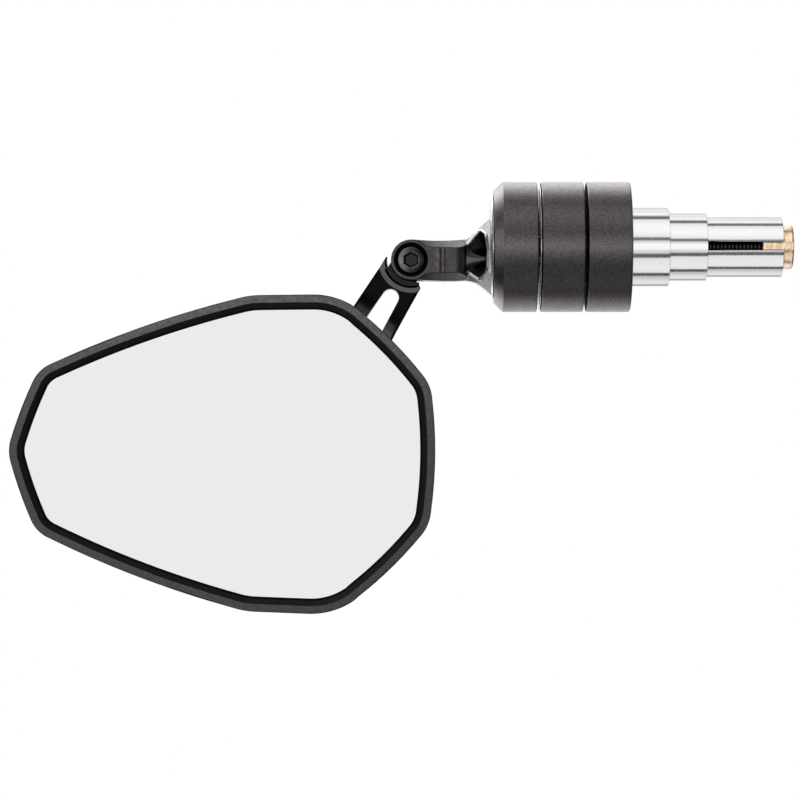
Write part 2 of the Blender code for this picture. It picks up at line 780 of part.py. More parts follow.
def sphere_arc(radius, start, end, steps):
    """Points (height, radius) on a circle about the ball, from one angle to another off its rear pole."""
    angles = [math.radians(start + (end - start) * i / steps) for i in range(steps + 1)]
    return [(radius * math.cos(a), radius * math.sin(a)) for a in angles]


def build_ball_stud(ball):
    neck_start = math.degrees(math.asin(STUD_RADIUS / BALL_RADIUS))
    shoulder = STUD_SHOULDER - BALL_Y
    end = STUD_END - BALL_Y
    profile = [
        (end, 0),
        (end, SHANK_RADIUS - 0.4),
        (end - 0.4, SHANK_RADIUS),
        (shoulder + 0.4, SHANK_RADIUS),
        (shoulder + 0.4, 3.0),
        (shoulder, 3.0),
        (shoulder, STUD_RADIUS),
    ]
    profile += sphere_arc(BALL_RADIUS, neck_start, 180, 9)[:-1] + [(-BALL_RADIUS, 0)]
    stud = turned("ball_stud", profile, BALL_SEGMENTS, closed=False)
    paint(on_y(stud, ball), "steel")
    washer_radius, washer_front, washer_back = STUD_WASHER
    washer_section = tube(washer_front, washer_back, washer_radius, SHANK_RADIUS + GAP)
    washer = turned("stud_washer", washer_section, SMALL_SEGMENTS)
    nut_flats, nut_front, nut_back = STUD_NUT
    nut = bar("stud_nut", hexagon_radius(nut_flats), nut_front, nut_back, 6, PIECES)
    bore = bar("stud_nut_bore", SHANK_RADIUS + 0.1, nut_front - 1, nut_back + 1)
    rear = (0, -BALL_Y, 0)
    cut(on_y(nut, ball, rear), on_y(bore, ball, rear))
    paint(on_y(washer, ball, rear), "steel")
    paint(nut, "steel")


def build_cup(name, body, start, end):
    """A spherical cup between the ball and its socket. One that ends at 180 degrees is closed at the front."""
    reaches_axis = end == 180
    outer = sphere_arc(CUP_RADII[1], start, end, 5)
    inner = sphere_arc(CUP_RADII[0], start, end, 5)[::-1]
    if reaches_axis:
        inner[0] = (-CUP_RADII[0], 0)
        outer[-1] = (-CUP_RADII[1], 0)
    cup = turned(name, inner + outer, BALL_SEGMENTS, closed=not reaches_axis)
    paint(on_y(cup, body), "nylon")


# ---------------------------------------------------------------- mirror head


def glass_outline(corner_steps=3, edge_steps=2):
    """Points and outward normals round the glass: bowed edges joined by round corners."""
    count = len(GLASS_CORNERS)
    edges = []
    for i in range(count):
        x, z, _, turn = GLASS_CORNERS[i]
        next_x, next_z = GLASS_CORNERS[(i + 1) % count][:2]
        heading = math.atan2(next_z - z, next_x - x)
        half_turn = math.radians(turn) / 2
        length = math.hypot(next_x - x, next_z - z)
        edges.append((heading - half_turn, heading + half_turn, length / 2 / math.sin(half_turn)))
    found = []
    for i in range(count):
        x, z, radius, _ = GLASS_CORNERS[i]
        arriving, leaving = edges[i - 1][1], edges[i][0]
        turn = (leaving - arriving + math.pi) % (2 * math.pi) - math.pi
        reach = radius * math.tan(turn / 2)
        cx = x - reach * math.cos(arriving) - radius * math.sin(arriving)
        cz = z - reach * math.sin(arriving) + radius * math.cos(arriving)
        for k in range(corner_steps + 1):
            a = arriving + turn * k / corner_steps
            found.append((cx + radius * math.sin(a), cz - radius * math.cos(a), a))
        bow = edges[i][2]
        following = GLASS_CORNERS[(i + 1) % count]
        next_turn = (edges[(i + 1) % count][0] - edges[i][1] + math.pi) % (2 * math.pi) - math.pi
        first = leaving + reach / bow
        last = edges[i][1] - following[2] * math.tan(next_turn / 2) / bow
        bx, bz = x - bow * math.sin(leaving), z + bow * math.cos(leaving)
        for k in range(1, edge_steps):
            a = first + (last - first) * k / edge_steps
            found.append((bx + bow * math.sin(a), bz - bow * math.cos(a), a))
    return [((x, z), (math.sin(a), -math.cos(a))) for x, z, a in found]


OUTLINE = glass_outline()


def grown(distance, y):
    """The glass's outline, moved outwards and laid at a depth."""
    return [(x + nx * distance, y, z + nz * distance) for (x, z), (nx, nz) in OUTLINE]


def shrunk(scale, y, about=BALL_IN_HEAD, distance=RIM_WIDTH):
    """The outline grown by a distance, then scaled about a point."""
    return [
        (about[0] + (x - about[0]) * scale, y, about[1] + (z - about[1]) * scale)
        for x, _, z in grown(distance, y)
    ]


def ring_solid(name, section):
    """A closed ring that follows the outline, from a section of (distance outwards, depth) points."""
    builder = bmesh.new()
    rings = [[builder.verts.new(Vector(p) * MM) for p in grown(d, y)] for d, y in section]
    count = len(OUTLINE)
    for near, far in zip(rings, rings[1:] + rings[:1]):
        for i in range(count):
            j = (i + 1) % count
            builder.faces.new((near[i], near[j], far[j], far[i]))
    return object_from(name, builder)


def build_shell(ball, location):
    shell = loft(
        "head_shell",
        [
            shrunk(0.62, BACK_RISE[0]),
            grown(-5.0, LEDGE),
            grown(SHELL_START, LEDGE),
            grown(SHELL_START, HEAD_FRONT),
            grown(RIM_WIDTH - 0.3, HEAD_FRONT + 0.5),
            grown(RIM_WIDTH, HEAD_FRONT + 0.9),
            grown(RIM_WIDTH, HEAD_FRONT + 3.5),
            grown(RIM_WIDTH - 0.9, HEAD_FRONT + 4.5),
            shrunk(0.78, BACK_RISE[1]),
            shrunk(0.45, BACK_PLATEAU),
        ],
    )
    place(shell, ball, location)
    radius, front, back = SOCKET_HOUSING
    housing = bar("socket_housing", radius, front - BALL_Y, back - BALL_Y, SEGMENTS)
    front, back = SOCKET_BOSS
    boss = bar("socket_boss", SOCKET_OUTER, front - BALL_Y, back - BALL_Y, SEGMENTS)
    join(shell, on_y(housing, ball), on_y(boss, ball))
    bowl = sphere_arc(SOCKET_RADIUS, 90, 180, 7)[:-1]
    profile = [(1.5, 0), (1.5, SOCKET_RADIUS)] + bowl + [(-SOCKET_RADIUS, 0)]
    pocket = turned("socket_pocket", profile, BALL_SEGMENTS, closed=False, collection=CUTTERS)
    cut(shell, on_y(pocket, ball))
    for number in range(SOCKET_SCREWS):
        hole = bar(
            f"socket_screw_hole_{number}",
            SOCKET_SCREW_RADIUS + GAP,
            SOCKET_SCREW_END - 0.4 - BALL_Y,
            -BALL_Y,
            TINY_SEGMENTS,
        )
        cut(shell, on_y(hole, ball, screw_place(number)))
    paint(shell, "anodised")


def screw_place(number):
    """Where a socket screw's axis is, from the ball's."""
    angle = math.radians(90 + 360 * number / SOCKET_SCREWS)
    return SOCKET_SCREW_CIRCLE * math.cos(angle), 0, SOCKET_SCREW_CIRCLE * math.sin(angle)


def build_glass(ball, location):
    dome = [
        (scale, GLASS_EDGE - GLASS_DOME * (1 - scale * scale)) for scale in (0.12, 0.4, 0.7, 1.0)
    ]
    loops = [shrunk(scale, y, (0, 0), GLASS_GROWTH) for scale, y in dome]
    loops.append(grown(GLASS_GROWTH, GLASS_BACK))
    glass = place(loft("mirror_glass", loops), ball, location)
    paint(glass, "mirror")
    front, back = SEAL_SECTION
    seal_section = [(0, front), (0, back), (GLASS_GROWTH, back), (GLASS_GROWTH, front)]
    paint(place(ring_solid("glass_seal", seal_section), ball, location), "rubber")
    bezel_section = [
        (BEZEL_START, BEZEL_FRONT),
        (SHELL_START - GAP, HEAD_FRONT + 0.02),
        (SHELL_START - GAP, LEDGE - GAP),
        (SHELL_START - 0.55, LEDGE - GAP),
        (SHELL_START - 0.55, BEZEL_FRONT + 0.2),
        (BEZEL_START, BEZEL_FRONT + 0.2),
    ]
    paint(place(ring_solid("glass_bezel", bezel_section), ball, location), "plastic")
    pad = loft("glass_pad", [grown(0.3, GLASS_BACK + GAP), grown(0.3, PAD_BACK)])
    paint(place(pad, ball, location), "rubber")
    carrier = loft("glass_carrier", [grown(1.15, PAD_BACK + GAP), grown(1.15, LEDGE - GAP)])
    paint(place(carrier, ball, location), "plastic")


def build_socket_cap(ball):
    lip, rim = CAP_LIP_RADII
    lip_angle = math.degrees(math.asin(lip / SOCKET_RADIUS))
    seat = CAP_SEAT - BALL_Y
    seat_angle = math.degrees(math.acos(seat / SOCKET_RADIUS))
    back = CAP_BACK - BALL_Y
    outside = [
        (back, lip),
        (back, rim),
        (back - 2.3, SOCKET_OUTER - 0.4),
        (back - 2.7, SOCKET_OUTER),
        (seat, SOCKET_OUTER),
    ]
    inside = sphere_arc(SOCKET_RADIUS, seat_angle, lip_angle, 4)
    cap = turned("socket_cap", outside + inside)
    on_y(cap, ball)
    head_radius, head_front, head_back = SOCKET_SCREW_HEAD
    bore_radius = SOCKET_SCREW_RADIUS + GAP
    floor = head_front - GAP - BALL_Y
    for number in range(SOCKET_SCREWS):
        place_there = screw_place(number)
        bore = bar(f"cap_bore_{number}", bore_radius, seat - 1, back + 1, TINY_SEGMENTS)
        seat_cut = bar(f"cap_seat_{number}", head_radius + 0.2, floor, back + 1, TINY_SEGMENTS)
        cut(cap, on_y(bore, ball, place_there), on_y(seat_cut, ball, place_there))
        screw = turned(
            f"socket_screw_{number + 1}",
            [
                (head_back - BALL_Y, 0),
                (head_back - BALL_Y, head_radius - 0.3),
                (head_back - BALL_Y - 0.3, head_radius),
                (head_front - BALL_Y, head_radius),
                (head_front - BALL_Y, SOCKET_SCREW_RADIUS),
                (SOCKET_SCREW_END - BALL_Y, SOCKET_SCREW_RADIUS),
                (SOCKET_SCREW_END - BALL_Y, 0),
            ],
            TINY_SEGMENTS,
            closed=False,
        )
        drive_floor = head_back - 0.7 - BALL_Y
        drive = bar(f"cap_screw_drive_{number}", hexagon_radius(1.5), drive_floor, back, 6)
        cut(on_y(screw, ball, place_there), on_y(drive, ball, place_there))
        paint(screw, "steel")
    paint(cap, "anodised")


# ---------------------------------------------------------------- assembly


def build_mirror():
    bar_end = empty_at("bar_end_frame", (0, 0, 0))
    bolt_body = empty_at("clamp_bolt_axis", (0, 0, 0), parent=bar_end)
    cone_body = empty_at("expander_axis", (0, 0, 0), parent=bar_end)
    link_body = empty_at("link_axis", (0, 0, 0), parent=bar_end)
    pivot_on_link = empty_at("pivot_on_link", PIVOT, parent=link_body)
    neck_turn = (0, math.radians(NECK_ANGLE), 0)
    neck_body = empty_at("neck_axis", PIVOT, neck_turn, parent=link_body)
    turn_back = (0, -math.radians(NECK_ANGLE), 0)
    ball = empty_at("ball_axis", (NECK_LENGTH, BALL_Y, 0), turn_back, parent=neck_body)
    head_location = (-BALL_IN_HEAD[0], -BALL_Y, -BALL_IN_HEAD[1])

    build_weight(bar_end)
    build_bolt_washer(bar_end)
    build_sleeve(bar_end)
    build_clamp(bolt_body, cone_body)
    build_link(link_body, pivot_on_link)
    build_pivot_hardware(pivot_on_link)
    build_neck(neck_body)
    build_ball_stud(ball)
    build_cup("ball_cup_rear", ball, 33, 84)
    build_cup("ball_cup_front", ball, 100, 180)
    build_shell(ball, head_location)
    build_glass(ball, head_location)
    build_socket_cap(ball)


build_mirror()
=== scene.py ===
"""Looks for the bar-end mirror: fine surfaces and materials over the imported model, a studio and a camera.

Shapes are in millimetres and are turned into metres where a mesh is made. +X runs into the handlebar,
+Z is up, and -Y is towards the rider, who sees the glass.
"""

import json
import math

import bmesh
import bpy
from mathutils import Matrix, Vector
from mathutils.bvhtree import BVHTree


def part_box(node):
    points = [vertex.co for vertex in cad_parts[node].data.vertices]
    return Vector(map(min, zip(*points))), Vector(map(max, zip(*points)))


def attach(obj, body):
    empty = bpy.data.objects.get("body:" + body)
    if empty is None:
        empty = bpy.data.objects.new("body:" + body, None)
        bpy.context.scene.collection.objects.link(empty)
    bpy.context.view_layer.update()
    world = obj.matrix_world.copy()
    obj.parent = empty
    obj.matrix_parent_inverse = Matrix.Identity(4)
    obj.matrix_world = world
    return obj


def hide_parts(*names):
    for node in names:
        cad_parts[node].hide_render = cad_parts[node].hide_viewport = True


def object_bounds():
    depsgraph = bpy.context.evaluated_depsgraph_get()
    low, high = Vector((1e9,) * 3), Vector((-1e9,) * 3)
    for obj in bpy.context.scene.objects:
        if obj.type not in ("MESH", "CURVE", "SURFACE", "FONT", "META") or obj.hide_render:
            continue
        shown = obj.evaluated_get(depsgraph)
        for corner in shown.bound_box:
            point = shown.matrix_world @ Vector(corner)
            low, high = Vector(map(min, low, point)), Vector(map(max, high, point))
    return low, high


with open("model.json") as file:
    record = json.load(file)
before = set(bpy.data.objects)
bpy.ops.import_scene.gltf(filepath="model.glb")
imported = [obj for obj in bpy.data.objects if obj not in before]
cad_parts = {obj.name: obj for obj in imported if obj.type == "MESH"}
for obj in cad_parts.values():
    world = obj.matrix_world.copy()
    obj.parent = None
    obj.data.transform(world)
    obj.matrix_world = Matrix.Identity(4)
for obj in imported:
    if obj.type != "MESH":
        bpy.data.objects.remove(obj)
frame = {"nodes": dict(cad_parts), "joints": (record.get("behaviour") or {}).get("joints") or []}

CAD_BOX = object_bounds()
MM = 0.001
SMOOTH = 160  # sides of a large turned piece
FINE = 64  # sides of a small turned piece
SAME_PLACE = 0.004  # corners closer than this are one corner

JOINTS = {joint["name"]: joint for joint in frame["joints"]}
PIVOT = Vector(JOINTS["neck_pivot"]["pos_m"]) / MM
BALL = Vector(JOINTS["head_tilt"]["pos_m"]) / MM
TO_BALL = Vector((BALL.x - PIVOT.x, 0, BALL.z - PIVOT.z))
NECK_ANGLE = math.atan2(-TO_BALL.z, TO_BALL.x)


def box_mm(node):
    low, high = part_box(node)
    return low / MM, high / MM


# ---------------------------------------------------------------- shapes


def axis_x(at=(0, 0, 0)):
    """A turned shape's own Z laid along the handlebar's axis."""
    return Matrix.Translation(Vector(at)) @ Matrix.Rotation(math.radians(90), 4, "Y")


def axis_y(at=(0, 0, 0)):
    """A turned shape's own Z laid along Y, away from the rider."""
    return Matrix.Translation(Vector(at)) @ Matrix.Rotation(math.radians(-90), 4, "X")


AT_PIVOT = Matrix.Translation(PIVOT)
NECK_FRAME = AT_PIVOT @ Matrix.Rotation(NECK_ANGLE, 4, "Y")
PIVOT_TURNED = axis_y(PIVOT)
BALL_TURNED = axis_y(BALL)
BALL_AXIS = axis_y((BALL.x, 0, BALL.z))


def from_pivot(place):
    """Distance from the pivot screw's axis."""
    return math.hypot(place.x - PIVOT.x, place.z - PIVOT.z)


def add_object(name, data):
    made = bpy.data.objects.new(name, data)
    bpy.context.scene.collection.objects.link(made)
    return made


def object_from(name, builder, matrix=None):
    """An object in metres, in the model's frame, from a bmesh in millimetres."""
    bmesh.ops.recalc_face_normals(builder, faces=builder.faces)
    if matrix:
        bmesh.ops.transform(builder, matrix=matrix, verts=builder.verts)
    bmesh.ops.scale(builder, vec=(MM, MM, MM), verts=builder.verts)
    mesh = bpy.data.meshes.new(name)
    builder.to_mesh(mesh)
    builder.free()
    return add_object(name, mesh)


def turned(name, profile, steps=SMOOTH, matrix=None):
    """A shape turned about its own Z from (height, radius) points.

    The profile closes on itself, or ends on the axis at both ends.
    """
    builder = bmesh.new()
    rings = []
    for height, radius in profile:
        if radius < 1e-6:
            rings.append([builder.verts.new((0, 0, height))] * steps)
            continue
        angles = [2 * math.pi * k / steps for k in range(steps)]
        ring = [builder.verts.new((radius * math.cos(a), radius * math.sin(a), height)) for a in angles]
        rings.append(ring)
    on_axis = profile[0][1] < 1e-6 and profile[-1][1] < 1e-6
    pairs = zip(rings, rings[1:]) if on_axis else zip(rings, rings[1:] + rings[:1])
    for near, far in pairs:
        for k in range(steps):
            after = (k + 1) % steps
            corners = dict.fromkeys((near[k], near[after], far[after], far[k]))
            if len(corners) > 2:
                builder.faces.new(tuple(corners))
    return object_from(name, builder, matrix)


def loft(name, loops, matrix=None, capped=True):
    """A skin through loops of points with equal counts, closed by its end faces or, uncapped, on itself."""
    builder = bmesh.new()
    rings = [[builder.verts.new(point) for point in loop] for loop in loops]
    count = len(rings[0])
    for near, far in zip(rings, rings[1:] if capped else rings[1:] + rings[:1]):
        for k in range(count):
            after = (k + 1) % count
            builder.faces.new((near[k], near[after], far[after], far[k]))
    if capped:
        builder.faces.new(rings[0])
        builder.faces.new(rings[-1])
    return object_from(name, builder, matrix)


def prism(name, outline, low, high, matrix=None):
    """A flat (x, z) outline, thickened along Y."""
    return loft(name, [[(x, y, z) for x, z in outline] for y in (low, high)], matrix)


def slab(name, outline, low, high, matrix=None):
    """A flat (x, y) outline, thickened along Z."""
    return loft(name, [[(x, y, z) for x, y in outline] for z in (low, high)], matrix)


def bar(name, radius, bottom, top, sides=FINE, matrix=None):
    """A cylinder or hexagonal bar about its own Z."""
    builder = bmesh.new()
    depth = top - bottom
    bmesh.ops.create_cone(
        builder, cap_ends=True, segments=sides, radius1=radius, radius2=radius, depth=depth
    )
    bmesh.ops.translate(builder, vec=(0, 0, bottom + depth / 2), verts=builder.verts)
    return object_from(name, builder, matrix)


def hexagon_radius(across_flats):
    return across_flats / 2 / math.cos(math.radians(30))


def fillet(points, steps=5):
    """Rounds the corners of an open chain of (a, b, radius) points; a point without a radius stays sharp."""
    made = [tuple(points[0][:2])]
    for before, corner, after in zip(points, points[1:], points[2:]):
        here = Vector(corner[:2])
        back = Vector(before[:2]) - here
        on = Vector(after[:2]) - here
        radius = corner[2] if len(corner) > 2 else 0
        if not radius:
            made.append(tuple(here))
            continue
        back.normalize()
        on.normalize()
        half = back.angle(on) / 2
        centre = here + (back + on).normalized() * radius / math.sin(half)
        start = here + back * radius / math.tan(half) - centre
        end = here + on * radius / math.tan(half) - centre
        turn = start.angle_signed(end)
        for k in range(steps + 1):
            a = -turn * k / steps
            x = start.x * math.cos(a) - start.y * math.sin(a)
            y = start.x * math.sin(a) + start.y * math.cos(a)
            made.append((centre.x + x, centre.y + y))
    made.append(tuple(points[-1][:2]))
    return made


def combine(target, other, operation):
    """Cuts or joins another shape, which is used up."""
    modifier = target.modifiers.new("combine", "BOOLEAN")
    modifier.operation = operation
    modifier.solver = "EXACT"
    modifier.object = other
    bake(target)
    bpy.data.objects.remove(other)


def cut(target, *cutters):
    for cutter in cutters:
        combine(target, cutter, "DIFFERENCE")


def join(target, *others):
    for other in others:
        combine(target, other, "UNION")


def bake(target):
    """Replaces the object's mesh by what its modifiers make of it."""
    graph = bpy.context.evaluated_depsgraph_get()
    mesh = bpy.data.meshes.new_from_object(target.evaluated_get(graph))
    target.modifiers.clear()
    target.data = mesh


def soften(target, width, segments=2, angle=28):
    """Rounds the edges that a boolean or a loft left sharp."""
    builder = bmesh.new()
    builder.from_mesh(target.data)
    bmesh.ops.remove_doubles(builder, verts=builder.verts, dist=SAME_PLACE * MM)
    bmesh.ops.dissolve_limit(
        builder, angle_limit=math.radians(1.0), verts=builder.verts, edges=builder.edges
    )
    builder.to_mesh(target.data)
    builder.free()
    bevel = target.modifiers.new("edges", "BEVEL")
    bevel.width = width * MM
    bevel.segments = segments
    bevel.limit_method = "ANGLE"
    bevel.angle_limit = math.radians(angle)
    bevel.harden_normals = False
    bevel.use_clamp_overlap = False
    bake(target)


def triangulate(target):
    builder = bmesh.new()
    builder.from_mesh(target.data)
    bmesh.ops.triangulate(builder, faces=builder.faces)
    builder.to_mesh(target.data)
    builder.free()


def surface_of(target):
    """A lookup of the target's surface as it is now."""
    data = target.data
    corners = [vertex.co for vertex in data.vertices]
    return BVHTree.FromPolygons(corners, [tuple(face.vertices) for face in data.polygons])


def show(target, body, nodes, material, sharp=32):
    """Puts a finished shape on its body in place of CAD nodes, with its material."""
    target.data.materials.clear()
    target.data.materials.append(material)
    target.data.shade_smooth()
    target.data.set_sharp_from_angle(angle=math.radians(sharp))
    weighted = target.modifiers.new("normals", "WEIGHTED_NORMAL")
    weighted.keep_sharp = True
    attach(target, body)
    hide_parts(*nodes)
    return target


def second_material(target, material, test):
    """Gives the faces whose centre, in millimetres, passes the test another material."""
    target.data.materials.append(material)
    index = len(target.data.materials) - 1
    for face in target.data.polygons:
        if test(face.center / MM, face.normal):
            face.material_index = index


# ---------------------------------------------------------------- materials


def new_material(name, colour, roughness, metallic, specular=0.5):
    made = bpy.data.materials.new(name)
    made.use_nodes = True
    shader = made.node_tree.nodes["Principled BSDF"]
    shader.inputs["Base Color"].default_value = (*colour, 1)
    shader.inputs["Roughness"].default_value = roughness
    shader.inputs["Metallic"].default_value = metallic
    shader.inputs["Specular IOR Level"].default_value = specular
    return made


def add_noise(material, scale, detail, stretch=(1, 1, 1)):
    """A noise over the object's own coordinates, in features per metre."""
    nodes, links = material.node_tree.nodes, material.node_tree.links
    place = nodes.new("ShaderNodeTexCoord")
    mapping = nodes.new("ShaderNodeMapping")
    mapping.inputs["Scale"].default_value = stretch
    noise = nodes.new("ShaderNodeTexNoise")
    noise.inputs["Scale"].default_value = scale
    noise.inputs["Detail"].default_value = detail
    links.new(place.outputs["Object"], mapping.inputs["Vector"])
    links.new(mapping.outputs["Vector"], noise.inputs["Vector"])
    return noise.outputs["Fac"]


def vary_roughness(material, source, low, high):
    nodes, links = material.node_tree.nodes, material.node_tree.links
    spread = nodes.new("ShaderNodeMapRange")
    spread.inputs["From Min"].default_value = 0.3
    spread.inputs["From Max"].default_value = 0.7
    spread.inputs["To Min"].default_value = low
    spread.inputs["To Max"].default_value = high
    links.new(source, spread.inputs["Value"])
    links.new(spread.outputs["Result"], nodes["Principled BSDF"].inputs["Roughness"])


def vary_colour(material, source, dark, light):
    nodes, links = material.node_tree.nodes, material.node_tree.links
    ramp = nodes.new("ShaderNodeValToRGB")
    ramp.color_ramp.elements[0].position = 0.3
    ramp.color_ramp.elements[1].position = 0.7
    ramp.color_ramp.elements[0].color = (*dark, 1)
    ramp.color_ramp.elements[1].color = (*light, 1)
    links.new(source, ramp.inputs["Fac"])
    links.new(ramp.outputs["Color"], nodes["Principled BSDF"].inputs["Base Color"])


def add_bump(material, source, height, strength):
    """Bump of a height in millimetres."""
    nodes, links = material.node_tree.nodes, material.node_tree.links
    bump = nodes.new("ShaderNodeBump")
    bump.inputs["Distance"].default_value = height * MM
    bump.inputs["Strength"].default_value = strength
    links.new(source, bump.inputs["Height"])
    links.new(bump.outputs["Normal"], nodes["Principled BSDF"].inputs["Normal"])


def anodised_material(name, level, roughness, grain_height=0.6, green=0.91, blue=0.97, speckle=0.38):
    """Fine-blasted black anodised aluminium. Its level is the share of light that it reflects."""
    made = new_material(name, (level, level, level), roughness, 1.0)
    grain = add_noise(made, 3600, 3)
    cloud = add_noise(made, 700, 3)
    dark, light = (1 - speckle) * level, (1 + speckle) * level
    patches = add_noise(made, 2600, 3)
    vary_colour(made, patches, (dark, green * dark, blue * dark), (light, green * light, blue * light))
    vary_roughness(made, cloud, roughness - 0.03, roughness + 0.04)
    add_bump(made, grain, 0.06, grain_height)
    return made


def smeared_material(name, colour, metallic, gloss, noise, specular=0.5):
    """A surface whose roughness wanders between two values, over a noise of a scale and a detail."""
    low, high = gloss
    made = new_material(name, colour, (low + high) / 2, metallic, specular)
    vary_roughness(made, add_noise(made, *noise), low, high)
    return made


def aluminium_material():
    """Bright aluminium, turned, with faint rings round the axis."""
    made = new_material("turned_aluminium", (0.37, 0.368, 0.372), 0.13, 1.0)
    made.node_tree.nodes["Principled BSDF"].inputs["Specular Tint"].default_value = (0.65, 0.65, 0.65, 1)
    rings = add_noise(made, 1.0, 2, stretch=(4200, 30, 30))
    vary_roughness(made, rings, 0.11, 0.17)
    add_bump(made, rings, 0.012, 0.25)
    return made


def brass_material():
    made = new_material("machined_brass", (0.5, 0.37, 0.26), 0.24, 0.9)
    rings = add_noise(made, 1.0, 3, stretch=(2600, 60, 60))
    cloud = add_noise(made, 900, 3)
    vary_colour(made, cloud, (0.29, 0.205, 0.13), (0.53, 0.41, 0.3))
    vary_roughness(made, rings, 0.2, 0.34)
    add_bump(made, rings, 0.02, 0.4)
    return made


def plastic_material():
    made = new_material("moulded_plastic", (0.0095, 0.0092, 0.0094), 0.38, 0.0, 0.22)
    grain = add_noise(made, 5200, 2)
    vary_roughness(made, grain, 0.34, 0.46)
    add_bump(made, grain, 0.02, 0.3)
    return made


ANODISED = anodised_material("anodised_weight", 0.19, 0.32)
ANODISED_ARM = anodised_material("anodised_arm", 0.10, 0.3)
ANODISED_HEAD = anodised_material("anodised_head", 0.042, 0.36, 0.2, speckle=0.2)
# Painted reflection: a lighter copy of the arm's anodising for the flare, whose facets are made light to
# stand in for the white surroundings that they reflect
ANODISED_FLARE_PAINTED_REFLECTION = anodised_material("anodised_flare_painted_reflection", 0.28, 0.24, 0.3, 0.97, 0.99)
ALUMINIUM = aluminium_material()
BRASS = brass_material()
PLASTIC = plastic_material()
POLISHED = smeared_material("polished_black", (0.0015, 0.0015, 0.0016), 0, (0.16, 0.24), (260, 4), 0.06)
# Painted highlight: cut edges and rims in a bright metal colour that stands in for the highlights along them
PAINTED_HIGHLIGHT = smeared_material("painted_highlight_edge", (0.62, 0.61, 0.62), 1, (0.12, 0.22), (1800, 2))
# Painted shade: deep grooves and bores made near black for the shade that falls in them
SHADOW = smeared_material("painted_shade_black", (0.003, 0.003, 0.003), 0, (0.45, 0.6), (2600, 2), 0.1)
# The scoop in the flare, left glossy
GLOSS = smeared_material("gloss_black", (0.12, 0.117, 0.12), 1, (0.16, 0.26), (1800, 3))
BAND = smeared_material("machined_band", (0.135, 0.127, 0.132), 1, (0.26, 0.36), (2600, 3))
DEEP_LAYER = smeared_material("machined_step", (0.026, 0.0245, 0.0255), 1, (0.22, 0.32), (2600, 3))
# Painted shade: a darker copy of the steel for inside the screw's hex socket
SOCKET = smeared_material("screw_socket_painted_shade", (0.035, 0.034, 0.035), 1, (0.26, 0.36), (2400, 3))
STEEL = smeared_material("black_oxide_steel", (0.095, 0.091, 0.094), 1, (0.22, 0.32), (2400, 3))
RUBBER = smeared_material("seal_rubber", (0.002, 0.002, 0.002), 0, (0.55, 0.7), (3000, 2), 0.12)
NYLON = smeared_material("natural_nylon", (0.78, 0.77, 0.73), 0, (0.4, 0.52), (2600, 2))
MIRROR = smeared_material("silvered_glass", (0.80, 0.80, 0.80), 1, (0.015, 0.025), (12, 1))


def dress(name, material, sharp=None):
    """Gives a CAD node that keeps its own mesh a material, and smooth shading."""
    data = frame["nodes"][name].data
    data.materials.clear()
    data.materials.append(material)
    data.shade_smooth()
    if sharp:
        data.set_sharp_from_angle(angle=math.radians(sharp))


# ---------------------------------------------------------------- weight

END_CHAMFER = 2.4  # on the ring next to the link
GRUB_TURN = 60  # of each grub screw's hole from the forward direction, in degrees


def build_rings():
    end, radius = box_mm("ring_outer")[0].x, box_mm("ring_outer")[1].z
    grub_x = (box_mm("link_grub_screw_upper")[0].x + box_mm("link_grub_screw_upper")[1].x) / 2
    # Each ring: left and right end, bore, and the rounding of its left and right outer edge
    rings = {
        "ring_inner": (box_mm("ring_middle")[1].x + 0.85, 0.0, 10.65, 0.35, 0.5),
        "ring_middle": (box_mm("ring_outer")[1].x + 1.05, box_mm("ring_middle")[1].x, 3.2, 0.35, 0.35),
        "ring_outer": (end, box_mm("ring_outer")[1].x, 8.45, 0.25, 0.35),
    }

    def in_seam(centre, normal):
        """Faces across the axis, away from the weight's two ends."""
        return abs(normal.x) > 0.9 and end + 1.3 < centre.x < -1

    for name, (left, right, bore, left_edge, right_edge) in rings.items():
        left_end = [(left, radius, left_edge)]
        if name == "ring_outer":
            left_end = [(left + END_CHAMFER, radius, left_edge), (left, radius - END_CHAMFER, left_edge)]
        chain = [(right, bore), (right, radius, right_edge), *left_end, (left, bore)]
        ring = turned(name + "_skin", fillet(chain), SMOOTH, axis_x())
        if name == "ring_outer":
            for sign in (1, -1):
                spin = Matrix.Rotation(math.radians(sign * GRUB_TURN), 4, "X")
                cut(ring, bar("hole", 2.15, 6, 20, 40, spin @ axis_y((grub_x, 0, 0))))
            soften(ring, 0.15, 2, 40)
        show(ring, "bar_end", [name], ANODISED)
        # Painted shade in the seams between the rings
        second_material(ring, SHADOW, in_seam)


def build_seam_ring():
    """The bright line between the outer and the middle ring: a painted highlight for the reflection in its
    chamfer.
    """
    low, high = box_mm("seam_washer")
    left, right = (low.x + high.x) / 2 - 0.14, (low.x + high.x) / 2 + 0.14
    chain = [(right, 9.8), (right, high.z, 0.06), (left, high.z, 0.06), (left, 9.8)]
    seam = turned("seam_ring_skin", fillet(chain), SMOOTH, axis_x())
    show(seam, "bar_end", ["seam_washer"], PAINTED_HIGHLIGHT)


# ---------------------------------------------------------------- sleeve, cone and bolt

STEP_RADII = (10.5, 9.0, 8.0)
STEP_ENDS = (10.25, 20.35, 40.5)  # how far each step reaches into the handlebar
STEP_ROUND = 0.12  # on the edge at each step's end
SLOT_COUNT = 3
SLOT_HALF = 1.2  # half a slot's width
BOLT_RADIUS = 3.0
THREAD_START = 16.0
THREAD_PITCH = 1.0
THREAD_DEPTH = 0.55


def third_turn(number):
    """The turn about the handlebar's axis of one of the sleeve's slots, or of the cone's key in it."""
    return Matrix.Rotation(2 * math.pi * number / SLOT_COUNT, 4, "X")


